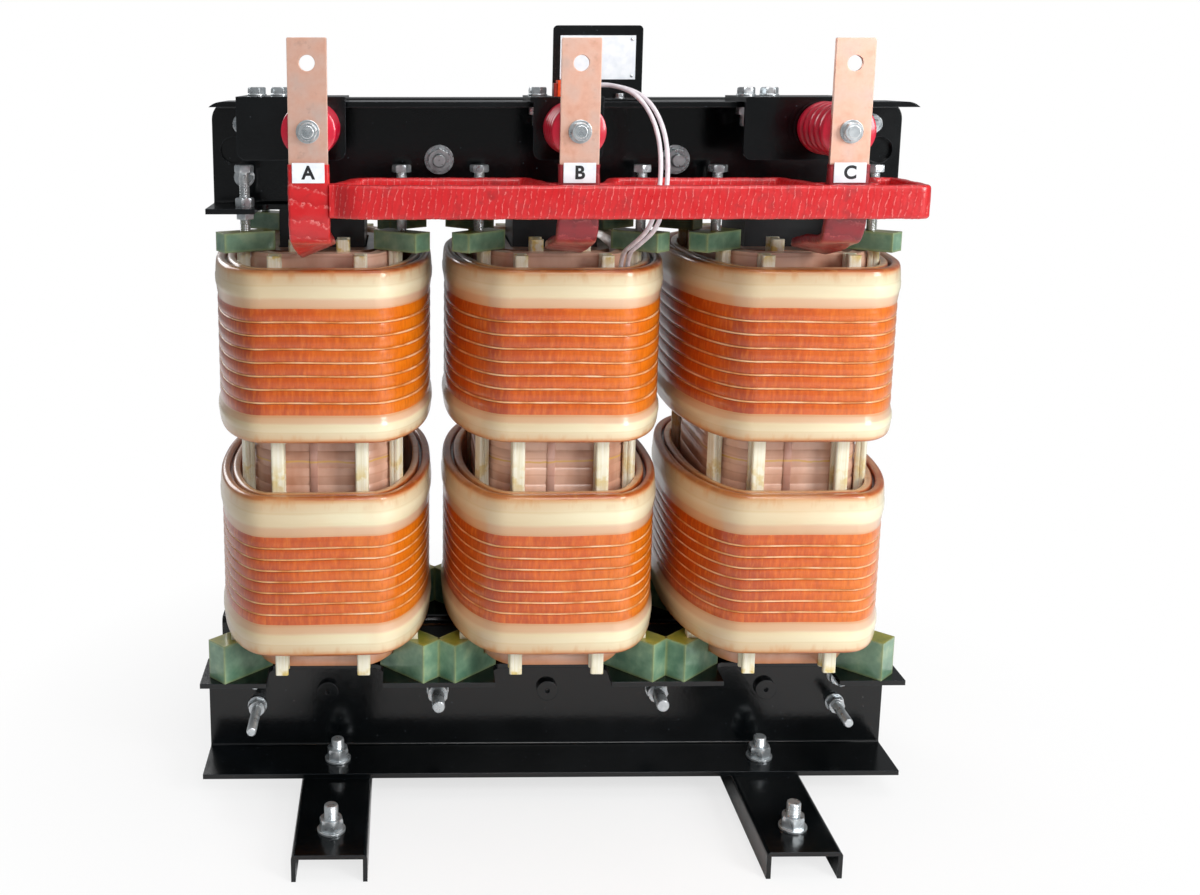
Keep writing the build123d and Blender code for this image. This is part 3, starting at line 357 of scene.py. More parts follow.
def stacked_steel():
    """Edges of stacked core sheets under black varnish: fine lines across the stack."""
    material, tree, shader = finish("stacked_steel", "#101317", 0.38, coat=0.2)
    coords = place_of(tree)
    # Real core sheets are about 0.35 mm thick, too fine for the render, so they are drawn 2.2 mm thick
    stack = {0: coords, "Scale": lines_apart(0.0022), "Distortion": 0.4}
    sheets = add(tree, "TexWave", stack, "Fac", bands_direction="Y")
    cloud = add(tree, "TexNoise", {0: coords, "Scale": 1 / 0.05, "Detail": 4.0, "Roughness": 0.55})
    colour = add(tree, "ValToRGB", {0: cloud}, stops=[(0.3, "#0A0C0E"), (0.7, "#1A1F24")])
    feed(shader, {"Base Color": colour})
    relief(tree, shader, sheets, 0.0004, 0.6)
    return material


def brown_board():
    """Varnished pressboard: brown, with mottled fibre."""
    material, tree, shader = finish("brown_board", "#7A4A26", 0.5, coat=0.3)
    fibre = add(tree, "TexNoise", {0: place_of(tree), "Scale": 1 / 0.008, "Detail": 5.0, "Roughness": 0.55})
    colour = add(tree, "ValToRGB", {0: fibre}, stops=[(0.3, "#4A2A14"), (0.7, "#8C5A32")])
    feed(shader, {"Base Color": colour})
    relief(tree, shader, fibre, 0.0003, 0.3)
    return material


def zinc_plate():
    """Bright zinc plating on bolts, dulled and slightly blue."""
    # Metallic stands below a bare metal's 1, to come out as light as the photo's bolts under this light
    material, tree, shader = finish("zinc_plate", "#B9C2C6", 0.32, metallic=0.8)
    cloud = add(tree, "TexNoise", {0: place_of(tree), "Scale": 1 / 0.010, "Detail": 4.0, "Roughness": 0.55})
    tone = add(tree, "ValToRGB", {0: cloud}, stops=[(0.3, "#B4BCC0"), (0.55, "#D0D6D9"), (0.8, "#E6EAEC")])
    # Painted highlight: white along the sharp edges
    edges = along_edges(tree, 0.0009)
    highlighted_metal = add(tree, "Mix", {0: edges, COLOUR_A: tone, COLOUR_B: "#FFFFFF"}, MIXED, data_type="RGBA")
    dulled = add(tree, "MapRange", {0: cloud, 1: 0.3, 2: 0.8, 3: 0.24, 4: 0.38})
    feed(shader, {"Base Color": highlighted_metal, "Roughness": dulled})
    relief(tree, shader, cloud, 0.0001, 0.1, 0.0006)
    return material


def cast_resin():
    """Pigmented resin insulator: saturated crimson with a hard gloss."""
    material, tree, shader = finish("cast_resin", "#D01034", 0.28, coat=0.6, coat_roughness=0.06)
    coords = place_of(tree)
    cloud = add(tree, "TexNoise", {0: coords, "Scale": 1 / 0.03, "Detail": 4.0, "Roughness": 0.55})
    colour = add(tree, "ValToRGB", {0: cloud}, stops=[(0.3, "#B40A28"), (0.6, "#D41236"), (0.8, "#E32A48")])
    feed(shader, {"Base Color": colour})
    skin = add(tree, "TexNoise", {0: coords, "Scale": 1 / 0.004, "Detail": 4.0, "Roughness": 0.55})
    relief(tree, shader, skin, 0.0002, 0.2)
    return material


def drawn_copper():
    """Drawn copper bar, tarnished pink and brown, with draw lines along its length."""
    # Metallic stands below a bare metal's 1, to come out as light as the photo's bars under this light
    material, tree, shader = finish("drawn_copper", "#E0A78E", 0.36, metallic=0.7)
    coords = place_of(tree)
    tarnish = [(0.28, "#DDA48C"), (0.45, "#EEBCA6"), (0.62, "#F6CCBA"), (0.8, "#FADCCE")]
    cloud = add(tree, "TexNoise", {0: coords, "Scale": 1 / 0.02, "Detail": 5.0, "Roughness": 0.55})
    tone = add(tree, "ValToRGB", {0: cloud}, stops=tarnish)
    marks = add(tree, "TexNoise", {0: coords, "Scale": 1 / 0.009, "Detail": 3.0, "Roughness": 0.55})
    spots = add(tree, "MapRange", {0: marks, 1: 0.62, 2: 0.80, 4: 0.3})
    stained = add(tree, "Mix", {0: spots, COLOUR_A: tone, COLOUR_B: "#9A6450"}, MIXED, data_type="RGBA")
    # Painted highlight: pale pink along the sharp edges
    edge_highlight = add(tree, "Math", {0: along_edges(tree, 0.0012), 1: 0.7}, operation="MULTIPLY")
    highlighted_metal = add(tree, "Mix", {0: edge_highlight, COLOUR_A: stained, COLOUR_B: "#FBE3D6"}, MIXED, data_type="RGBA")
    gloss = add(tree, "MapRange", {0: cloud, 1: 0.3, 2: 0.8, 3: 0.5, 4: 0.28})
    feed(shader, {"Base Color": highlighted_metal, "Roughness": gloss})
    # Real draw lines are about 0.2 mm apart, too fine for the render, so they are drawn 1.5 mm wide
    lengthwise = place_of(tree, (1, 1, 0.02))
    lines = add(tree, "TexNoise", {0: lengthwise, "Scale": 1 / 0.0015, "Detail": 3.0, "Roughness": 0.55})
    relief(tree, shader, lines, 0.0002, 0.2, 0.0012)
    return material


def lapped_tape(name, face, deep, edge):
    """Half-lapped varnished tape: each turn's edge shows as a slanting line, a painted highlight broken up in
    places.
    """
    material, tree, shader = finish(name, face, 0.38, coat=0.4, coat_roughness=0.12)
    coords = place_of(tree)
    turn = add(tree, "Attribute", output="Fac", attribute_name="lap")
    loose = add(tree, "TexNoise", {0: coords, "Scale": 1 / 0.014, "Detail": 4.0, "Roughness": 0.65})
    drift = add(tree, "Math", {0: loose, 1: 1.3}, operation="MULTIPLY")
    drifted = add(tree, "Math", {0: turn, 1: drift}, operation="ADD")
    lap = add(tree, "Math", {0: drifted}, operation="FRACT")
    cloud = add(tree, "TexNoise", {0: coords, "Scale": 1 / 0.02, "Detail": 4.0, "Roughness": 0.55})
    colour = add(tree, "ValToRGB", {0: cloud}, stops=[(0.22, deep), (0.42, face), (0.8, face)])
    under_lap = add(tree, "MapRange", {0: lap, 1: 0.55, 2: 1.0, 4: 0.35})
    shade = add(tree, "Mix", {0: under_lap, COLOUR_A: colour, COLOUR_B: deep}, MIXED, data_type="RGBA")
    # The pale line along each lap's edge is a painted highlight, broken up by noise
    highlight_breakup = add(tree, "TexNoise", {0: coords, "Scale": 1 / 0.0045, "Detail": 3.0, "Roughness": 0.55})
    breaks = add(tree, "MapRange", {0: highlight_breakup, 1: 0.44, 2: 0.58})
    tape_edge = add(tree, "MapRange", {0: lap, 1: 0.18, 2: 0.0})
    line = add(tree, "Math", {0: tape_edge, 1: breaks}, operation="MULTIPLY")
    faint_line = add(tree, "Math", {0: line, 1: 0.6}, operation="MULTIPLY")
    final = add(tree, "Mix", {0: faint_line, COLOUR_A: shade, COLOUR_B: edge}, MIXED, data_type="RGBA")
    gloss = add(tree, "MapRange", {0: cloud, 1: 0.35, 2: 0.75, 3: 0.48, 4: 0.26})
    feed(shader, {"Base Color": final, "Roughness": gloss})
    # Real tape is woven at about 0.4 mm, too fine for the render, so its weave is drawn at 1.8 mm
    weave = add(tree, "TexNoise", {0: coords, "Scale": 1 / 0.0018, "Detail": 2.0, "Roughness": 0.55})
    lap_share = add(tree, "Math", {0: lap, 1: 0.6}, operation="MULTIPLY")
    weave_share = add(tree, "Math", {0: weave, 1: 0.5}, operation="MULTIPLY")
    height = add(tree, "Math", {0: lap_share, 1: weave_share}, operation="ADD")
    relief(tree, shader, height, 0.0006, 0.4)
    return material


def plain_plastic(name, colour, roughness, deep):
    """Moulded plastic or painted plate with a slight cloud in its tone."""
    material, tree, shader = finish(name, colour, roughness, coat=0.15)
    coords = place_of(tree)
    cloud = add(tree, "TexNoise", {0: coords, "Scale": 1 / 0.012, "Detail": 3.0, "Roughness": 0.55})
    feed(shader, {"Base Color": add(tree, "ValToRGB", {0: cloud}, stops=[(0.3, deep), (0.6, colour)])})
    skin = add(tree, "TexNoise", {0: coords, "Scale": 1 / 0.001, "Detail": 4.0, "Roughness": 0.55})
    relief(tree, shader, skin, 0.0001, 0.2)
    return material


TURNS = varnished_turns()
SEAM = seam_highlight()
BAND = band_tape()
SHELL = coil_paper("coil_paper_outer", "#E8BCA4", "#C48C70")
CORE_WRAP = coil_paper("coil_paper_inner", "#B98A70", "#7A4C34")
STRIP = pultruded_strip()
LAMINATE = glass_laminate()
ENAMEL = black_enamel()
STACK = stacked_steel()
BOARD = brown_board()
ZINC = zinc_plate()
RESIN = cast_resin()
COPPER = drawn_copper()
# Each tape's last colour is the painted highlight along its laps' edges
TAPE = lapped_tape("lapped_tape", "#CC141A", "#9A0D13", "#F2A09A")
LEAD_TAPE = lapped_tape("lead_tape", "#8E101C", "#4E0810", "#C85A5A")
WHITE_PLATE = plain_plastic("white_plate", "#F2F6FA", 0.35, "#E2E8EE")
BLACK_INK = plain_plastic("black_ink", "#16181C", 0.5, "#0C0E10")
ORANGE_CASE = plain_plastic("orange_case", "#FF5A28", 0.3, "#E03C10")
DARK_RED_CASE = plain_plastic("dark_red_case", "#A82A1C", 0.35, "#7E1810")
TAPE_STRIP = coil_paper("pink_tape", "#DDAE9C", "#BE8672")
LEAD_SHEATH = plain_plastic("lead_sheath", "#F0E8EC", 0.35, "#DCD2D8")


# Pieces


def piece(name, verts, faces, materials, faces_material=None, smooth=True, replaces=()):
    """A mesh object that rides on the plant."""
    mesh = bpy.data.meshes.new(name)
    mesh.from_pydata(verts, [], faces)
    for material in materials:
        mesh.materials.append(material)
    if faces_material:
        mesh.polygons.foreach_set("material_index", faces_material)
    mesh.polygons.foreach_set("use_smooth", [smooth] * len(mesh.polygons))
    mesh.validate()
    obj = bpy.data.objects.new(name, mesh)
    bpy.context.scene.collection.objects.link(obj)
    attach(obj, "root")
    if replaces:
        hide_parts(*replaces)
    return obj


def closed_skin(around, count):
    """Faces over sections of count points that stand in a closed row."""
    faces = []
    for i in range(around):
        k = (i + 1) % around
        for j in range(count):
            m = (j + 1) % count
            faces.append((i * count + j, k * count + j, k * count + m, i * count + m))
    return faces


def axes_of(axis):
    """A direction with two more across it."""
    axis = Vector(axis).normalized()
    across = axis.orthogonal().normalized()
    return axis, across, axis.cross(across)


def store(obj, name, values):
    """Keep a number for each vertex."""
    layer = obj.data.attributes.new(name, "FLOAT", "POINT")
    layer.data.foreach_set("value", values)


def hardened(obj, angle=40.0):
    """Keep edges sharper than the angle crisp."""
    obj.data.set_sharp_from_angle(angle=math.radians(angle))


class Mesh:
    """Vertices and faces gathered from simple forms."""

    def __init__(self):
        self.verts = []
        self.faces = []
        self.marks = []

    def rings(self, rings, mark=0, cap=True):
        """Skin a list of rings of points."""
        base = len(self.verts)
        count = len(rings[0])
        for ring in rings:
            self.verts.extend([tuple(p) for p in ring])
        for i in range(len(rings) - 1):
            for j in range(count):
                k = (j + 1) % count
                a = base + i * count
                self.faces.append((a + j, a + k, a + count + k, a + count + j))
                self.marks.append(mark)
        if cap:
            self.faces.append(tuple(range(base + count - 1, base - 1, -1)))
            last = base + (len(rings) - 1) * count
            self.faces.append(tuple(range(last, last + count)))
            self.marks.extend([mark, mark])

    def turned(self, origin, axis, profile, sides, mark=0, cap=True):
        """A turned form: profile is (radius, distance along axis) pairs."""
        axis, across, up = axes_of(axis)
        rings = []
        for radius, along in profile:
            ring = []
            for j in range(sides):
                a = 2 * math.pi * j / sides
                u, v = radius * math.cos(a), radius * math.sin(a)
                ring.append(Vector(origin) + axis * along + across * u + up * v)
            rings.append(ring)
        self.rings(rings, mark, cap)

    def box(self, low, high, mark=0, bevel=0.0):
        """A block, with its upright and level edges cut a little."""
        x0, y0, z0 = low
        x1, y1, z1 = high
        b = bevel
        rings = []
        for z, i in ((z0, b), (z0 + b, 0), (z1 - b, 0), (z1, b)):
            rings.append(
                [
                    (x0 + i + b, y0 + i, z),
                    (x1 - i - b, y0 + i, z),
                    (x1 - i, y0 + i + b, z),
                    (x1 - i, y1 - i - b, z),
                    (x1 - i - b, y1 - i, z),
                    (x0 + i + b, y1 - i, z),
                    (x0 + i, y1 - i - b, z),
                    (x0 + i, y0 + i + b, z),
                ]
            )
        self.rings(rings, mark)


# Bolts, nuts and washers


def washer(mesh, origin, axis, radius, thick):
    """A flat ring with its edges rounded off."""
    edge = min(0.4 * MM, thick / 3)
    profile = [(radius - edge, 0), (radius, edge), (radius, thick - edge), (radius - edge, thick)]
    mesh.turned(origin, axis, profile, 40)


def hexagon(mesh, origin, axis, flats, thick, turn):
    """A hexagon with its corners turned off at both faces."""
    corner = flats / math.sqrt(3)
    axis, across, up = axes_of(axis)
    rings = []
    sides = 36
    for along, limit in ((0, 0.93), (0.10, 1.0), (0.84, 1.0), (1.0, 0.90)):
        ring = []
        for j in range(sides):
            a = 2 * math.pi * j / sides
            local = (a % (math.pi / 3)) - math.pi / 6
            reach = min((flats / 2) / math.cos(local), corner * limit)
            p = Vector(origin) + axis * (thick * along)
            p += across * (reach * math.cos(a + turn)) + up * (reach * math.sin(a + turn))
            ring.append(p)
        rings.append(ring)
    mesh.rings(rings)


def loose_nut(mesh, origin, axis, flats, thick):
    """A nut or head turned as it happened to stop."""
    hexagon(mesh, origin, axis, flats, thick, random.uniform(0, 1))


def thread(mesh, origin, axis, radius, length, pitch=2.0 * MM, point=True):
    """A threaded stud's visible end: ridges one pitch apart."""
    profile = [(radius - 0.6 * MM, 0)]
    along = 0.3 * MM
    while along < length - pitch:
        profile.append((radius, along + pitch * 0.25))
        profile.append((radius - 0.65 * MM, along + pitch * 0.75))
        along += pitch
    if point:
        profile.append((radius - 0.4 * MM, length - 0.9 * MM))
        profile.append((radius - 1.4 * MM, length))
    else:
        profile.append((radius, length))
    mesh.turned(origin, axis, profile, 24)


def stud_group(mesh, x, z, bolt, front_reach, rear_reach):
    """A through bolt along Y with a washer and a nut on both webs."""
    radius, washer_radius, flats, nut = bolt
    for side, length in ((-1, front_reach), (1, rear_reach)):
        axis = Vector((0, side, 0))
        seat = Vector((x, side * WEB_FRONT_Y, z))
        washer(mesh, seat, axis, washer_radius, WASHER)
        loose_nut(mesh, seat + axis * WASHER, axis, flats, nut)
        thread(mesh, seat, axis, radius, length - WEB_FRONT_Y)
    core = radius - 0.5 * MM
    mesh.turned((x, -WEB_FRONT_Y, z), (0, 1, 0), [(core, 0), (core, 2 * WEB_FRONT_Y)], 20)


def pressing_bolt(mesh, x, y):
    """A bolt down through the upper flange on to a block: head, nut and lock nut."""
    at = Vector((x, y, 0))
    shank = 5.4 * MM
    mesh.turned(at + UP * BLOCK_TOP_Z, UP, [(shank, 0), (shank, JACK_HEAD_Z - BLOCK_TOP_Z)], 20)
    thread(mesh, at + UP * BLOCK_TOP_Z, UP, M12_RADIUS, 0.066, FINE_PITCH, False)
    loose_nut(mesh, at + UP * JACK_HEAD_Z, UP, M12_FLATS, M12_HEAD)
    loose_nut(mesh, at + UP * UPPER_FLANGE_Z, UP, M12_FLATS, M12_NUT)
    loose_nut(mesh, at + UP * (UPPER_FLANGE_Z - CLAMP_PLATE - M12_HEAD), UP, M12_FLATS, M12_HEAD)


def foot_stud(mesh, x, y, low, high, seat):
    """A stud up through a foot, with a washer and a nut on top and a nut in the channel."""
    at = Vector((x, y, 0))
    channel = 0.020
    washer(mesh, at + UP * seat, UP, 16 * MM, FOOT_WASHER)
    loose_nut(mesh, at + UP * (seat + FOOT_WASHER), UP, M16_FLATS, M16_NUT)
    thread(mesh, at + UP * (seat + FOOT_WASHER), UP, M16_RADIUS, high - seat - FOOT_WASHER)
    loose_nut(mesh, at + UP * 0.014, UP, M16_FLATS, M16_NUT)
    thread(mesh, at + UP * channel, -UP, M16_RADIUS, channel - low)
    mesh.turned(at + UP * channel, UP, [(7 * MM, 0), (7 * MM, seat - channel)], 16)


# How far the lower tie bolts reach in front, by side and row, and the foot studs' y, foot, top and seat
TIE_REACH = {(-1, 0): 0.138, (-1, 1): 0.092, (1, 0): 0.124, (1, 1): 0.092}
FOOT_STUDS = ((0.102, 0.008, 0.066, 0.038), (0.250, 0.003, 0.064, 0.032))


def build_fasteners():
    """Every bolt of the plant, seated where the model's plain bolts are."""
    bolts = Mesh()
    for name, cx in PHASES.items():
        for offset in JACK_X[name]:
            for side in (-1, 1):
                pressing_bolt(bolts, cx + offset, side * JACK_Y)
    lower_tie = (M12_RADIUS, 12 * MM, M12_FLATS, M12_NUT)
    upper_tie = (M12_RADIUS, 12 * MM, M12_FLATS, 9 * MM)
    lower_core = (M16_RADIUS, 14 * MM, M16_FLATS, M16_NUT)
    upper_core = (M16_RADIUS, 17 * MM, M16_FLATS, M16_NUT)
    for sx in (-1, 1):
        for row, z in enumerate(TIE_LOWER_Z):
            stud_group(bolts, sx * TIE_X, z, lower_tie, TIE_REACH[(sx, row)], 0.088)
        for z in TIE_UPPER_Z:
            stud_group(bolts, sx * TIE_X, z, upper_tie, 0.082, 0.082)
        stud_group(bolts, sx * CORE_BOLT_X, CORE_BOLT_LOWER_Z, lower_core, 0.116, 0.092)
        stud_group(bolts, sx * CORE_BOLT_X, CORE_BOLT_UPPER_Z, upper_core, 0.090, 0.092)
        for side in (-1, 1):
            for y, low, high, seat in FOOT_STUDS:
                foot_stud(bolts, sx * FOOT_X, side * y, low, high, seat)
    plain = ("pressing_bolts", "tie_bolts", "core_bolts", "foot_studs")
    hardened(piece("bolts_and_nuts", bolts.verts, bolts.faces, [ZINC], replaces=plain), 30)


build_fasteners()


# Outer coils


def outline(half_x, half_y, corner_x, corner_y, spacing):
    """Points round a winding, each with its outward direction and its distance round."""
    sx = half_x - corner_x
    sy = half_y - corner_y
    points = []

    def straight(a, b, normal):
        length = math.dist(a, b)
        count = max(2, round(length / spacing))
        for i in range(count):
            t = i / count
            points.append((a[0] + (b[0] - a[0]) * t, a[1] + (b[1] - a[1]) * t, normal[0], normal[1]))

    def corner(cx, cy, start):
        count = max(8, round(math.pi / 4 * (corner_x + corner_y) / spacing))
        for i in range(count):
            t = math.radians(start + 90 * i / count)
            nx = math.cos(t) / corner_x
            ny = math.sin(t) / corner_y
            size = math.hypot(nx, ny)
            points.append((cx + corner_x * math.cos(t), cy + corner_y * math.sin(t), nx / size, ny / size))

    straight((-sx, -half_y), (sx, -half_y), (0, -1))
    corner(sx, -sy, 270)
    straight((half_x, -sy), (half_x, sy), (1, 0))
    corner(sx, sy, 0)
    straight((sx, half_y), (-sx, half_y), (0, 1))
    corner(-sx, sy, 90)
    straight((-half_x, sy), (-half_x, -sy), (-1, 0))
    corner(-sx, -sy, 180)
    out = []
    run = 0.0
    for i, (x, y, nx, ny) in enumerate(points):
        if i:
            run += math.dist((x, y), points[i - 1][:2])
        out.append((x, y, nx, ny, run))
    return out


OUTER_HALF_X = 0.128
OUTER_HALF_Y = 0.185
OUTER_CORNER_X = 0.068
OUTER_CORNER_Y = 0.175
OUTER_WALL = 0.022
TURN_COUNT = 8
TURNS_MARK, SEAM_MARK, BAND_MARK = 0, 1, 2
# The coil's end from its bore to its face, in mm: two taped walls with a groove between; out, drop, layer
RIM = (
    (-22.0, 3.0, 0.99),
    (-21.2, 1.0, 0.93),
    (-19.5, 0.1, 0.88),
    (-14.6, 0.1, 0.90),
    (-12.8, 1.2, 0.96),
    # The groove's floor takes layer 1, the darkest brown: painted shade in the recess
    (-12.2, 8.0, 1.0),
    (-9.6, 8.0, 1.0),
    (-9.0, 1.2, 0.97),
    (-7.4, 0.0, 0.93),
    (-3.4, 0.0, 0.94),
    (-1.4, 0.5, 0.96),
    (0.2, 1.6, 0.955),
    (1.1, 4.0, 0.915),
)


def coil_section(z0, z1, low_band, high_band):
    """The coil's section from its inner foot round its outside: (out, z, mark, layer)."""
    section = []

    def band(edge_z, turn_z, upward):
        """A taped end: its rim, its outer face in three lapped steps, and its lip by the turns."""
        span = abs(turn_z - edge_z)
        rows = [(out * MM, edge_z - upward * drop * MM, layer) for out, drop, layer in RIM]
        for i in range(1, 12):
            t = i / 11
            z = edge_z - upward * (4.0 * MM + (span - 4.0 * MM) * t)
            proud = 0.0012 + 0.0016 * math.sin(math.pi * t) - 0.0010 * t
            if 0.38 < t < 0.72:
                proud += 0.0006
            rows.append((proud, z, 0.915 * (1 - t)))
        return rows

    low = band(z0, z0 + low_band, -1)
    high = band(z1, z1 - high_band, 1)
    for out, z, layer in low:
        section.append((out, z, BAND_MARK, layer))
    pitch = (z1 - high_band - z0 - low_band) / TURN_COUNT
    for i in range(TURN_COUNT):
        base = z0 + low_band + pitch * i
        if i:
            section.append((-0.0011, base - 1.25 * MM, SEAM_MARK, 0))
            section.append((0.0004, base - 0.5 * MM, SEAM_MARK, 0))
            section.append((0.0001, base + 0.5 * MM, SEAM_MARK, 0))
            section.append((-0.0011, base + 0.9 * MM, TURNS_MARK, 0))
        for t in (0.10, 0.3, 0.5, 0.7, 0.90):
            section.append((0.0009 * math.sin(math.pi * t) - 0.0002, base + pitch * t, TURNS_MARK, 0))
    for out, z, layer in reversed(high):
        section.append((out, z, BAND_MARK, layer))
    section.append((-OUTER_WALL, (z0 + z1) / 2, BAND_MARK, 0.9))
    return section


def build_coil(phase, level, bands, seed):
    """One outer coil in place of its plain solid."""
    node = "outer_coil_" + phase + "_" + level
    low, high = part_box(node)
    z0, z1 = low[2], high[2]
    cx = PHASES[phase]
    spacing = 0.005
    path = outline(OUTER_HALF_X, OUTER_HALF_Y, OUTER_CORNER_X, OUTER_CORNER_Y, spacing)
    section = coil_section(z0, z1, *bands)
    verts, run_values, heights, layers, lit_sides = [], [], [], [], []
    wave = random.Random(seed)
    phases = [wave.uniform(0, 6.28) for _ in range(6)]
    # Hand winding: the coil swells, its turns rise and fall, and its flat sides bow out by about 2 mm
    for x, y, nx, ny, run in path:
        angle = math.atan2(y / OUTER_HALF_Y, x / OUTER_HALF_X)
        swell = 0.0007 * math.sin(2 * angle + phases[0]) + 0.0004 * math.sin(5 * angle + phases[1])
        lift = 0.0006 * math.sin(3 * angle + phases[2]) + 0.0003 * math.sin(7 * angle + phases[3])
        bow = 0.0022 * max(0.0, 1 - (x / 0.064) ** 2) if abs(ny) > 0.98 else 0.0
        # Higher on the coil's right side than on its left: the turns and tape finishes use it for painted
        # light on the right and painted shade on the left
        lit_side = 0.54 + 0.46 * math.sin(angle + 0.9)
        for out, z, mark, layer in section:
            inner = out <= -OUTER_WALL
            grow = out + (0 if inner else swell + bow)
            middle = 4 * (z - z0) * (z1 - z) / (z1 - z0) ** 2
            verts.append((cx + x + nx * grow, y + ny * grow, z + lift * middle))
            run_values.append(run)
            heights.append(z)
            layers.append(layer)
            lit_sides.append(lit_side)
    faces = closed_skin(len(path), len(section))
    marks = [row[2] for row in section] * len(path)
    obj = piece("wound_" + node, verts, faces, [TURNS, SEAM, BAND], marks, replaces=(node,))
    for name, values in (("run", run_values), ("height", heights), ("layer", layers), ("lit_side", lit_sides)):
        store(obj, name, values)
    hardened(obj, 60)


# The taped ends' heights, at the foot and at the top
LOWER_BANDS = (0.038, 0.047)
UPPER_BANDS = (0.031, 0.043)
for index, phase in enumerate(PHASES):
    build_coil(phase, "lower", LOWER_BANDS, 20 + index)
    build_coil(phase, "upper", UPPER_BANDS, 40 + index)


# Middle windings

MIDDLE_HALF_X = 0.092
MIDDLE_HALF_Y = 0.138
MIDDLE_CORNER_X = 0.048
MIDDLE_CORNER_Y = 0.095
MIDDLE_WALL = 0.016
WRAP_PITCH = 0.0205


def build_shell(phase):
    """The lapped paper wrap of a middle winding, with a rounded lip and a pink tape down its front."""
    node = "middle_coil_" + phase
    low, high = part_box(node)
    z0, z1 = low[2], high[2]
    cx = PHASES[phase]
    lip = 2.2 * MM
    section = [(-MIDDLE_WALL, z0 + lip), (-MIDDLE_WALL + lip, z0)]
    section += [(-lip, z0), (-0.4 * MM, z0 + 0.6 * MM), (0, z0 + lip)]
    z = z0 + WRAP_PITCH
    while z < z1 - WRAP_PITCH / 2:
        section += [(-0.1 * MM, z - 0.9 * MM), (-0.9 * MM, z - 0.2 * MM)]
        section += [(-0.8 * MM, z + 1.0 * MM), (0, z + WRAP_PITCH * 0.4)]
        z += WRAP_PITCH
    section += [(0, z1 - lip), (-0.4 * MM, z1 - 0.6 * MM), (-lip, z1), (-MIDDLE_WALL / 2, z1 - 1.2 * MM)]
    section += [(-MIDDLE_WALL + lip, z1), (-MIDDLE_WALL, z1 - lip)]
    spacing = 0.006
    path = outline(MIDDLE_HALF_X, MIDDLE_HALF_Y, MIDDLE_CORNER_X, MIDDLE_CORNER_Y, spacing)
    shell = Mesh()
    # The paper lies up to 0.9 mm further in as it goes round, and its top edge dips with it
    for x, y, nx, ny, run in path:
        wave = 0.0005 * math.sin(run * 41) + 0.0004 * math.sin(run * 97 + cx)
        for out, z in section:
            dip = min(0.0, max(0.0, 1 - (z1 - z) / 0.012) * wave * 2)
            grow = out + min(0.0, wave)
            shell.verts.append((cx + x + nx * grow, y + ny * grow, z + dip))
    shell.faces = closed_skin(len(path), len(section))
    shell.marks = [0] * len(shell.faces)
    front = -MIDDLE_HALF_Y
    shell.box((cx - 0.013, front - 1.2 * MM, 0.392), (cx - 0.004, front + 1 * MM, 0.480), 1, 0.4 * MM)
    finishes = [SHELL, TAPE_STRIP]
    name = "wrapped_" + node
    obj = piece(name, shell.verts, shell.faces, finishes, shell.marks, replaces=(node,))
    hardened(obj, 50)


for phase in PHASES:
    build_shell(phase)


# Insulators


def build_insulators():
    """Ribbed posts with rounded sheds, along Y."""
    length = INSULATOR_LENGTH
    pitch = length / INSULATOR_RIBS
    profile = [(0.0, 0.0), (0.0255, 0.0), (0.0275, 0.0012)]
    for i in range(INSULATOR_RIBS):
        start = i * pitch
        for k in range(9):
            a = math.pi * k / 8
            along = start + 0.0016 + pitch * 0.30 * (1 - math.cos(a))
            profile.append((0.0232 + 0.0053 * math.sin(a) ** 0.6, along))
        if i < INSULATOR_RIBS - 1:
            profile.append((0.0226, start + pitch * 0.84))
    profile += [(0.0275, length - 0.0012), (0.0255, length), (0.0, length)]
    posts = Mesh()
    for cx in PHASES.values():
        posts.turned((cx, BRACKET_FRONT_Y, INSULATOR_Z), FORWARD, profile, 56, cap=False)
    plain = ("terminal_insulators",)
    hardened(piece("ribbed_insulators", posts.verts, posts.faces, [RESIN], replaces=plain), 50)


build_insulators()


BRACKET_BOLT_X = {"a": (-0.068, -0.042), "b": (-0.028,), "c": (-0.068, -0.042)}
BRACKET_BOLT_Y = -0.106
BRACKET_BOLT_FLATS = 18 * MM


def build_terminal_fasteners():
    """The bolt through each bar, and the bolts that hold the brackets to the deck."""
    bolts = Mesh()
    for cx in PHASES.values():
        seat = Vector((cx, BAR_FRONT_Y, INSULATOR_Z))
        washer(bolts, seat, FORWARD, 12 * MM, 1.8 * MM)
        washer(bolts, seat + FORWARD * (1.8 * MM), FORWARD, 9.4 * MM, 1.2 * MM)
        hexagon(bolts, seat + FORWARD * (3.0 * MM), FORWARD, 17 * MM, 6.2 * MM, 0.4)
        bolts.turned(seat + FORWARD * (9.2 * MM), FORWARD, [(6.4 * MM, -0.4 * MM), (6.0 * MM, 0.5 * MM)], 28)
    for name, cx in PHASES.items():
        for x in BRACKET_BOLT_X[name]:
            top = Vector((cx + x, BRACKET_BOLT_Y, UPPER_DECK_Z + CLAMP_PLATE))
            washer(bolts, top, UP, 11 * MM, 2 * MM)
            loose_nut(bolts, top + UP * (2 * MM), UP, BRACKET_BOLT_FLATS, 7.4 * MM)
            under = Vector((cx + x, BRACKET_BOLT_Y, UPPER_DECK_Z - CLAMP_PLATE))
            loose_nut(bolts, under - UP * (9 * MM), UP, BRACKET_BOLT_FLATS, 9 * MM)
            thread(bolts, under, -UP, M12_RADIUS, 0.022, FINE_PITCH)
    plain = ("terminal_fasteners",)
    hardened(piece("terminal_bolts", bolts.verts, bolts.faces, [ZINC], replaces=plain), 30)


build_terminal_fasteners()


# Taped links and leads


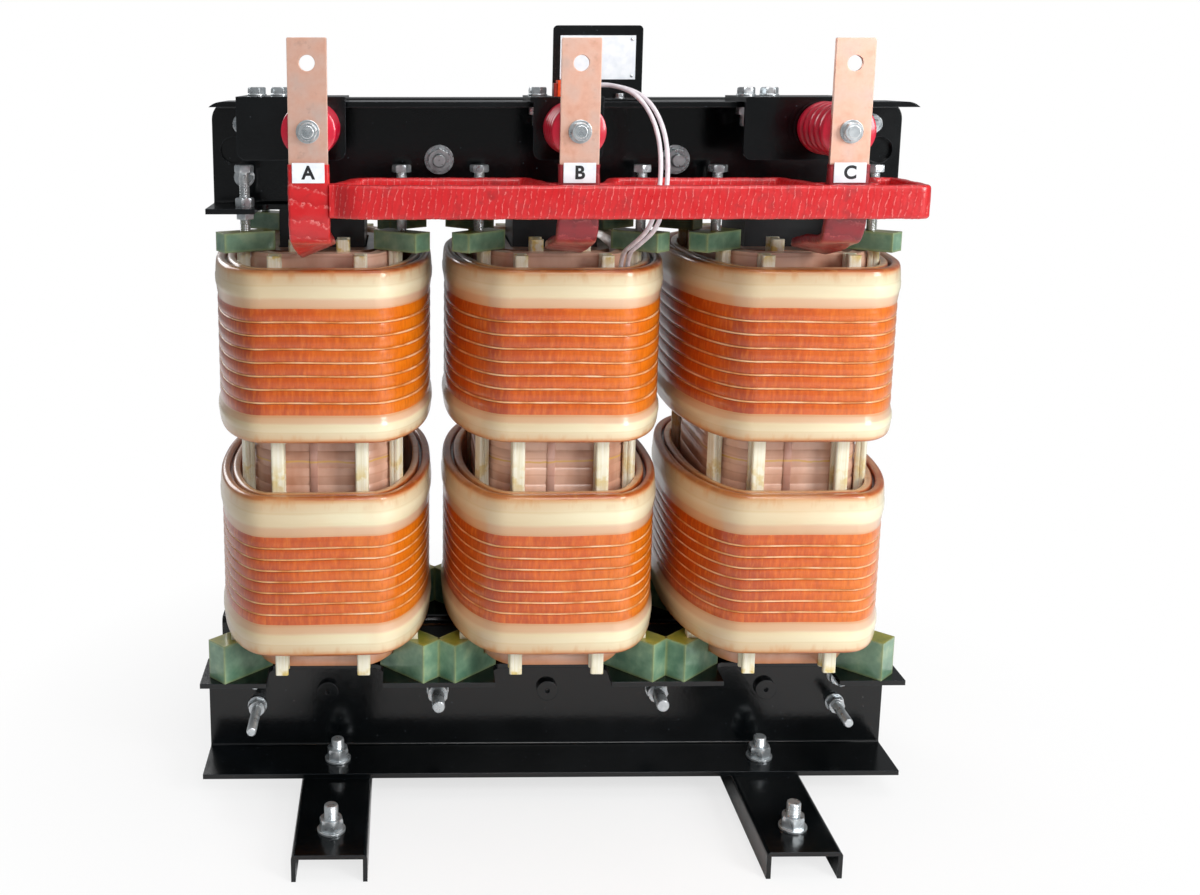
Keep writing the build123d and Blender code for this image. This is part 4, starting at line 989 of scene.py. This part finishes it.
def rounded_path(points, cut):
    """A path with its corners eased, in steps of about 2 mm."""
    points = [Vector(p) for p in points]
    eased = [points[0]]
    for before, here, after in zip(points, points[1:], points[2:]):
        into = min(cut, (here - before).length / 2.2)
        away = min(cut, (after - here).length / 2.2)
        start = here + (before - here).normalized() * into
        end = here + (after - here).normalized() * away
        for i in range(7):
            t = i / 6
            eased.append(start * (1 - t) ** 2 + here * (2 * t * (1 - t)) + end * t**2)
    eased.append(points[-1])
    step = 0.002
    fine = [eased[0]]
    for a, b in zip(eased, eased[1:]):
        count = max(1, round((b - a).length / step))
        for i in range(1, count + 1):
            fine.append(a.lerp(b, i / count))
    return fine


LAP_SLOPE = 0.15


def taped_bar(name, points, up, width, thick, material, node, seed, cut, pitch=0.0068, twist=0.0):
    """A flat bar in half-lapped tape: up is the direction of its wide side, cut eases its bends."""
    rng = random.Random(seed)
    path = rounded_path(points, cut)
    up = Vector(up).normalized()
    corner = min(thick, width) * 0.28
    ring = []
    steps = 5
    for sx, sy, start in ((1, 1, 0), (-1, 1, 90), (-1, -1, 180), (1, -1, 270)):
        for k in range(steps):
            a = math.radians(start + 90 * k / (steps - 1))
            u = sx * (width / 2 - corner) + corner * math.cos(a)
            ring.append((u, sy * (thick / 2 - corner) + corner * math.sin(a)))
    dense = []
    for i, a in enumerate(ring):
        b = ring[(i + 1) % len(ring)]
        count = max(1, round(math.dist(a, b) / 0.004))
        for k in range(count):
            t = k / count
            dense.append((a[0] + (b[0] - a[0]) * t, a[1] + (b[1] - a[1]) * t))
    verts, laps = [], []
    run = 0.0
    wobble = [rng.uniform(0, 6.28) for _ in range(4)]
    for i, p in enumerate(path):
        if i:
            run += (p - path[i - 1]).length
        ahead = path[min(i + 1, len(path) - 1)] - path[max(i - 1, 0)]
        along = ahead.normalized()
        side = along.cross(up).normalized()
        rise = side.cross(along).normalized()
        if twist:
            late = min(1.0, max(0.0, (i / (len(path) - 1) - 0.45) / 0.3))
            turn = Matrix.Rotation(twist * late * late * (3 - 2 * late), 3, along)
            side, rise = turn @ side, turn @ rise
        for u, v in dense:
            slant = LAP_SLOPE * u * (1 if v < 0 else -1)
            lap = (run + slant + 0.0003 * math.sin(run * 90 + wobble[0])) / pitch
            proud = 0.00035 * (lap % 1.0) + 0.0002 * math.sin(run * 160 + u * 200 + wobble[1])
            grow = 1 + proud / max(math.hypot(u, v), 0.004)
            verts.append(p + rise * u * grow + side * v * grow)
            laps.append(lap)
    count = len(dense)
    faces = []
    for i in range(len(path) - 1):
        for j in range(count):
            k = (j + 1) % count
            faces.append((i * count + j, i * count + k, (i + 1) * count + k, (i + 1) * count + j))
    faces.append(tuple(range(count)))
    last = (len(path) - 1) * count
    faces.append(tuple(range(last + count - 1, last - 1, -1)))
    obj = piece(name, [tuple(v) for v in verts], faces, [material], replaces=(node,))
    store(obj, "lap", laps)
    hardened(obj, 55)


LINK_Z = 0.746
LINK_HEIGHT = 0.034
LINK_THICKNESS = 0.012
LINK_BEND = 0.008
LINK_END_X = 0.351
REAR_LINK_Y = -0.185
FRONT_LINK_Y = -0.280
FRONT_LINK_START_Y = -0.2665
LINK_RETURN_Y = -0.258
LEAD_SIDE = 0.021
BEHIND_LEAD_Y = -0.2535
# Where a link leaves a lead's side, and where it has reached its own plane
LEAVE_X = LEAD_SIDE + 0.009
CLEAR_X = LEAD_SIDE + 0.026


def taped_link(name, route, node, seed):
    """A link bar at the links' height, with its wide side upright."""
    points = [(x, y, LINK_Z) for x, y in route]
    taped_bar(name, points, UP, LINK_HEIGHT, LINK_THICKNESS, TAPE, node, seed, LINK_BEND)


left, right = PHASES["a"], PHASES["c"]
front_route = [
    (left + LEAD_SIDE, FRONT_LINK_START_Y),
    (left + LEAVE_X, FRONT_LINK_START_Y),
    (left + CLEAR_X, FRONT_LINK_Y),
    (LINK_END_X, FRONT_LINK_Y),
    (LINK_END_X, REAR_LINK_Y),
    (right + LEAD_SIDE + 0.030, REAR_LINK_Y),
    (right + LEAVE_X, LINK_RETURN_Y),
    (right + LEAD_SIDE - 0.003, LINK_RETURN_Y),
]
taped_link("taped_front_link", front_route, "front_link_bar", 3)
for name, start in (("ab", PHASES["a"]), ("bc", PHASES["b"])):
    end = start + PHASE_PITCH
    rear_route = [
        (start + 0.001, BEHIND_LEAD_Y),
        (start + LEAVE_X, BEHIND_LEAD_Y),
        (start + CLEAR_X, REAR_LINK_Y),
        (end - CLEAR_X, REAR_LINK_Y),
        (end - LEAVE_X, BEHIND_LEAD_Y),
        (end - 0.001, BEHIND_LEAD_Y),
    ]
    taped_link("taped_rear_link_" + name, rear_route, "rear_link_bars", 5)

# Each lead's tape, seed and twist: they were folded by hand
LEADS = {"a": (TAPE, 7, -0.4), "b": (LEAD_TAPE, 8, 0.12), "c": (LEAD_TAPE, 9, 0.25)}
LEAD_WIDTH, LEAD_THICKNESS = 0.042, 0.010
for name, cx in PHASES.items():
    tape, seed, twist = LEADS[name]
    route = [
        (cx, BAR_MIDDLE_Y, 0.783),
        (cx, BAR_MIDDLE_Y, 0.724),
        (cx, BAR_MIDDLE_Y + 0.010, 0.706),
        (cx, -0.178, 0.690),
        (cx, -0.150, 0.684),
    ]
    size = (LEAD_WIDTH, LEAD_THICKNESS)
    taped_bar("taped_lead_" + name, route, (1, 0, 0), *size, tape, "winding_leads", seed, 0.009, 0.017, twist)


# Phase marks: plain letter plates at the foot of each bare bar


PLATE_FRONT_Y = -0.2708
PLATE_Z = (0.7645, 0.7850)
PLATE_HALF = 0.0165


def build_marks():
    """A white plate with one black letter on each bar."""
    plates = Mesh()
    for name, cx in PHASES.items():
        low = (cx - PLATE_HALF, PLATE_FRONT_Y, PLATE_Z[0])
        plates.box(low, (cx + PLATE_HALF, PLATE_FRONT_Y + 1.3 * MM, PLATE_Z[1]), bevel=0.3 * MM)
        words = bpy.data.curves.new("phase_mark_" + name, "FONT")
        words.body = name.upper()
        words.size = 0.0185
        words.align_x = "CENTER"
        words.align_y = "CENTER"
        words.extrude = 0.1 * MM
        words.offset = 0.6 * MM
        obj = bpy.data.objects.new("phase_mark_" + name, words)
        obj.location = (cx, PLATE_FRONT_Y - 0.1 * MM, 0.7745)
        obj.rotation_euler = (math.radians(90), 0, 0)
        bpy.context.scene.collection.objects.link(obj)
        words.materials.append(BLACK_INK)
        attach(obj, "root")
    piece("phase_plates", plates.verts, plates.faces, [WHITE_PLATE], smooth=False)


build_marks()


# Small parts on the deck


def build_plate_screws():
    """The bare nameplate's four screws, and the two bolts through its bracket's foot."""
    screws = Mesh()
    foot_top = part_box("nameplate_bracket")[0][2] + 3 * MM
    for x in (0.062, 0.083):
        washer(screws, Vector((x, -0.123, foot_top)), UP, 5.5 * MM, 1 * MM)
        hexagon(screws, Vector((x, -0.123, foot_top + 1 * MM)), UP, 8 * MM, 4.6 * MM, 0.3)
    low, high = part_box("nameplate")
    inset = 4 * MM
    profile = [(1.9 * MM, 0), (1.9 * MM, 0.3 * MM), (1.3 * MM, 0.8 * MM), (0.5 * MM, 1.0 * MM)]
    for x in (low[0] + inset, high[0] - inset):
        for z in (low[2] + inset, high[2] - inset):
            screws.turned((x, low[1], z), FORWARD, profile, 16)
    hardened(piece("plate_screws", screws.verts, screws.faces, [ZINC]), 30)


def build_terminal_case():
    """The terminal block: an orange case with a dark red side, and a collar round each lead."""
    (x0, y0, z0), (x1, y1, z1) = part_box("terminal_block")
    case = Mesh()
    side = 4 * MM
    top = z1 - 0.8 * MM
    case.box((x0 + side, y0, z0), (x1, y1, top), 0, 0.6 * MM)
    case.box((x0, y0 + 1 * MM, z0), (x0 + side, y1 - 1 * MM, z1 - 4 * MM), 1, 0.5 * MM)
    collar = [(3.0 * MM, 0), (3.0 * MM, 0.8 * MM), (2.2 * MM, 0.8 * MM), (2.0 * MM, -1 * MM)]
    for y in (y0 + 5 * MM, y0 + 15 * MM):
        case.turned((x0 + 12 * MM, y, top), UP, collar, 24)
    finishes = [ORANGE_CASE, DARK_RED_CASE]
    plain = ("terminal_block",)
    obj = piece("terminal_case", case.verts, case.faces, finishes, case.marks, replaces=plain)
    hardened(obj, 30)


def build_hole_backs():
    """A black disc behind each lifting hole, put there as painted shade, because no light comes through them
    in such a plant.
    """
    backs = Mesh()
    disc = [(18 * MM, 0), (18.6 * MM, 0.6 * MM), (18.6 * MM, 2 * MM), (18 * MM, 2.6 * MM)]
    for sx in (-1, 1):
        for sy in (-1, 1):
            inner = (sx * LIFT_HOLE_X, sy * (WEB_FRONT_Y - CLAMP_PLATE), LIFT_HOLE_Z)
            backs.turned(inner, (0, -sy, 0), disc, 40)
    hardened(piece("hole_shade_discs", backs.verts, backs.faces, [ENAMEL]), 40)


build_plate_screws()
build_terminal_case()
build_hole_backs()


# Sensor leads


CORD_DIAMETER = 5 * MM
CORD_SPACING = 7.5 * MM
# Each lead's name, node, sideways shift and length
CORDS = (
    ("white_lead_left", "sensor_lead_left", 0.0, 0.336),
    ("white_lead_right", "sensor_lead_right", CORD_SPACING, 0.346),
)


def build_cord(name, node, shift):
    """A white two-core sensor lead from the terminal block into the duct of the middle phase."""
    points = [
        (0.007, -0.130 + shift, 0.860),
        (0.026, -0.130 + shift, 0.860),
        (0.050, -0.140 + shift, 0.862),
        (0.076 + shift, -0.168, 0.851),
        (0.093 + shift, -0.196, 0.815),
        (0.093 + shift, -0.222, 0.765),
        (0.084 + shift, -0.226, 0.715),
        (0.070 + shift, -0.186, 0.690),
        (0.064 + shift, -0.1505, 0.676),
        (0.064 + shift, -0.1505, 0.655),
    ]
    curve = bpy.data.curves.new(name, "CURVE")
    curve.dimensions = "3D"
    spline = curve.splines.new("NURBS")
    spline.points.add(len(points) - 1)
    for target, p in zip(spline.points, points):
        target.co = (*p, 1.0)
    spline.order_u = 3
    spline.use_endpoint_u = True
    spline.resolution_u = 12
    curve.bevel_depth = CORD_DIAMETER / 2
    curve.bevel_resolution = 6
    curve.use_fill_caps = True
    curve.materials.append(LEAD_SHEATH)
    obj = bpy.data.objects.new(name, curve)
    bpy.context.scene.collection.objects.link(obj)
    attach(obj, "root")
    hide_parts(node)
    return obj, points


for name, node, shift, length in CORDS:
    cord, points = build_cord(name, node, shift)


# Finishes of the model's own pieces


# A node takes the first finish whose words its name holds
DRESS = (
    (("core_limbs", "_yoke"), STACK),
    (("clamp", "_foot", "terminal_brackets", "yoke_caps", "nameplate_bracket"), ENAMEL),
    (("middle_coil",), SHELL),
    (("inner_coil",), CORE_WRAP),
    (("duct_spacers",), STRIP),
    (("support_blocks",), LAMINATE),
    (("yoke_insulation",), BOARD),
    (("terminal_bars",), COPPER),
    (("nameplate",), WHITE_PLATE),
    (("terminal_block",), ORANGE_CASE),
)
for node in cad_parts:
    finishes = [material for words, material in DRESS if any(word in node for word in words)]
    if finishes:
        slots = bpy.data.objects[node].data.materials
        slots.clear()
        slots.append(finishes[0])


# Floor, light and camera


def build_stage():
    """A pale floor, and a world that the camera and glass see as white."""
    floor = bpy.data.meshes.new("studio_floor")
    reach = 6.0
    corners = [(-reach, -reach, 0), (reach, -reach, 0), (reach, reach, 0), (-reach, reach, 0)]
    floor.from_pydata(corners, [], [(0, 1, 2, 3)])
    material = bpy.data.materials.new("studio_floor")
    material.use_nodes = True
    tree = material.node_tree
    shader = tree.nodes["Principled BSDF"]
    feed(shader, {"Base Color": "#FCFCFC", "Roughness": 0.9, "Specular IOR Level": 0.1})
    # Away from the plant the camera sees plain white, so that the floor has no horizon
    reach_out = add(tree, "VectorMath", {0: place_of(tree)}, "Value", operation="LENGTH")
    away = add(tree, "MapRange", {0: reach_out, 1: 0.25, 2: 0.80, 3: 0.70})
    camera_ray = add(tree, "LightPath", output="Is Camera Ray")
    paper = add(tree, "Emission", {0: WHITE, 1: 1.0})
    shown = add(tree, "Math", {0: camera_ray, 1: away}, operation="MULTIPLY")
    faded = add(tree, "MixShader", {0: shown, 1: shader.outputs[0], 2: paper})
    feed(tree.nodes["Material Output"], {0: faded})
    floor.materials.append(material)
    obj = bpy.data.objects.new("studio_floor", floor)
    bpy.context.scene.collection.objects.link(obj)
    world = bpy.data.worlds.new("studio")
    bpy.context.scene.world = world
    world.use_nodes = True
    tree = world.node_tree
    tree.nodes.clear()
    soft = add(tree, "Background", {0: "#F6F9FC", 1: 0.26})
    white = add(tree, "Background", {0: WHITE, 1: 1.0})
    camera_ray = add(tree, "LightPath", output="Is Camera Ray")
    glass_ray = add(tree, "LightPath", output="Is Transmission Ray")
    seen = add(tree, "Math", {0: camera_ray, 1: glass_ray}, operation="MAXIMUM")
    add(tree, "OutputWorld", {0: add(tree, "MixShader", {0: seen, 1: soft, 2: white})})


# Each lamp's name, place, target, size and watts
LAMPS = (
    ("window_right", (2.1, -2.1, 1.5), (0, 0, 0.45), (1.0, 1.5), 58),
    ("window_front", (0.5, -2.6, 2.3), (0, 0, 0.4), (1.2, 1.0), 26),
    ("ceiling", (0.4, -0.6, 2.7), (0, 0, 0.5), (1.8, 1.4), 16),
    ("rear_left", (-1.6, 2.2, 1.7), (0, 0, 0.5), (1.6, 1.4), 26),
)


def build_lamp(name, place, target, size, watts):
    """A soft white lamp that faces its target."""
    light = bpy.data.lights.new(name, "AREA")
    light.shape = "RECTANGLE"
    light.size, light.size_y = size
    light.energy = watts
    obj = bpy.data.objects.new(name, light)
    obj.location = place
    obj.rotation_euler = (Vector(target) - Vector(place)).to_track_quat("-Z", "Y").to_euler()
    bpy.context.scene.collection.objects.link(obj)


build_stage()
for lamp in LAMPS:
    build_lamp(*lamp)

# The camera, fitted to the photo: a little left of the middle, looking slightly down
CAMERA_PLACE = (-0.177, -1.622, 0.876)
CAMERA_DOWN, CAMERA_RIGHT = 11.01, 0.64

camera_data = bpy.data.cameras.new("photo_camera")
camera_data.sensor_width = 36.0
camera_data.lens = 39.9
camera_data.shift_x = 0.15
camera_data.shift_y = -0.098
camera = bpy.data.objects.new("photo_camera", camera_data)
camera.location = CAMERA_PLACE
camera.rotation_euler = (math.radians(90 - CAMERA_DOWN), 0, math.radians(-CAMERA_RIGHT))
bpy.context.scene.collection.objects.link(camera)
bpy.context.scene.camera = camera
bpy.context.scene.view_settings.view_transform = "Standard"
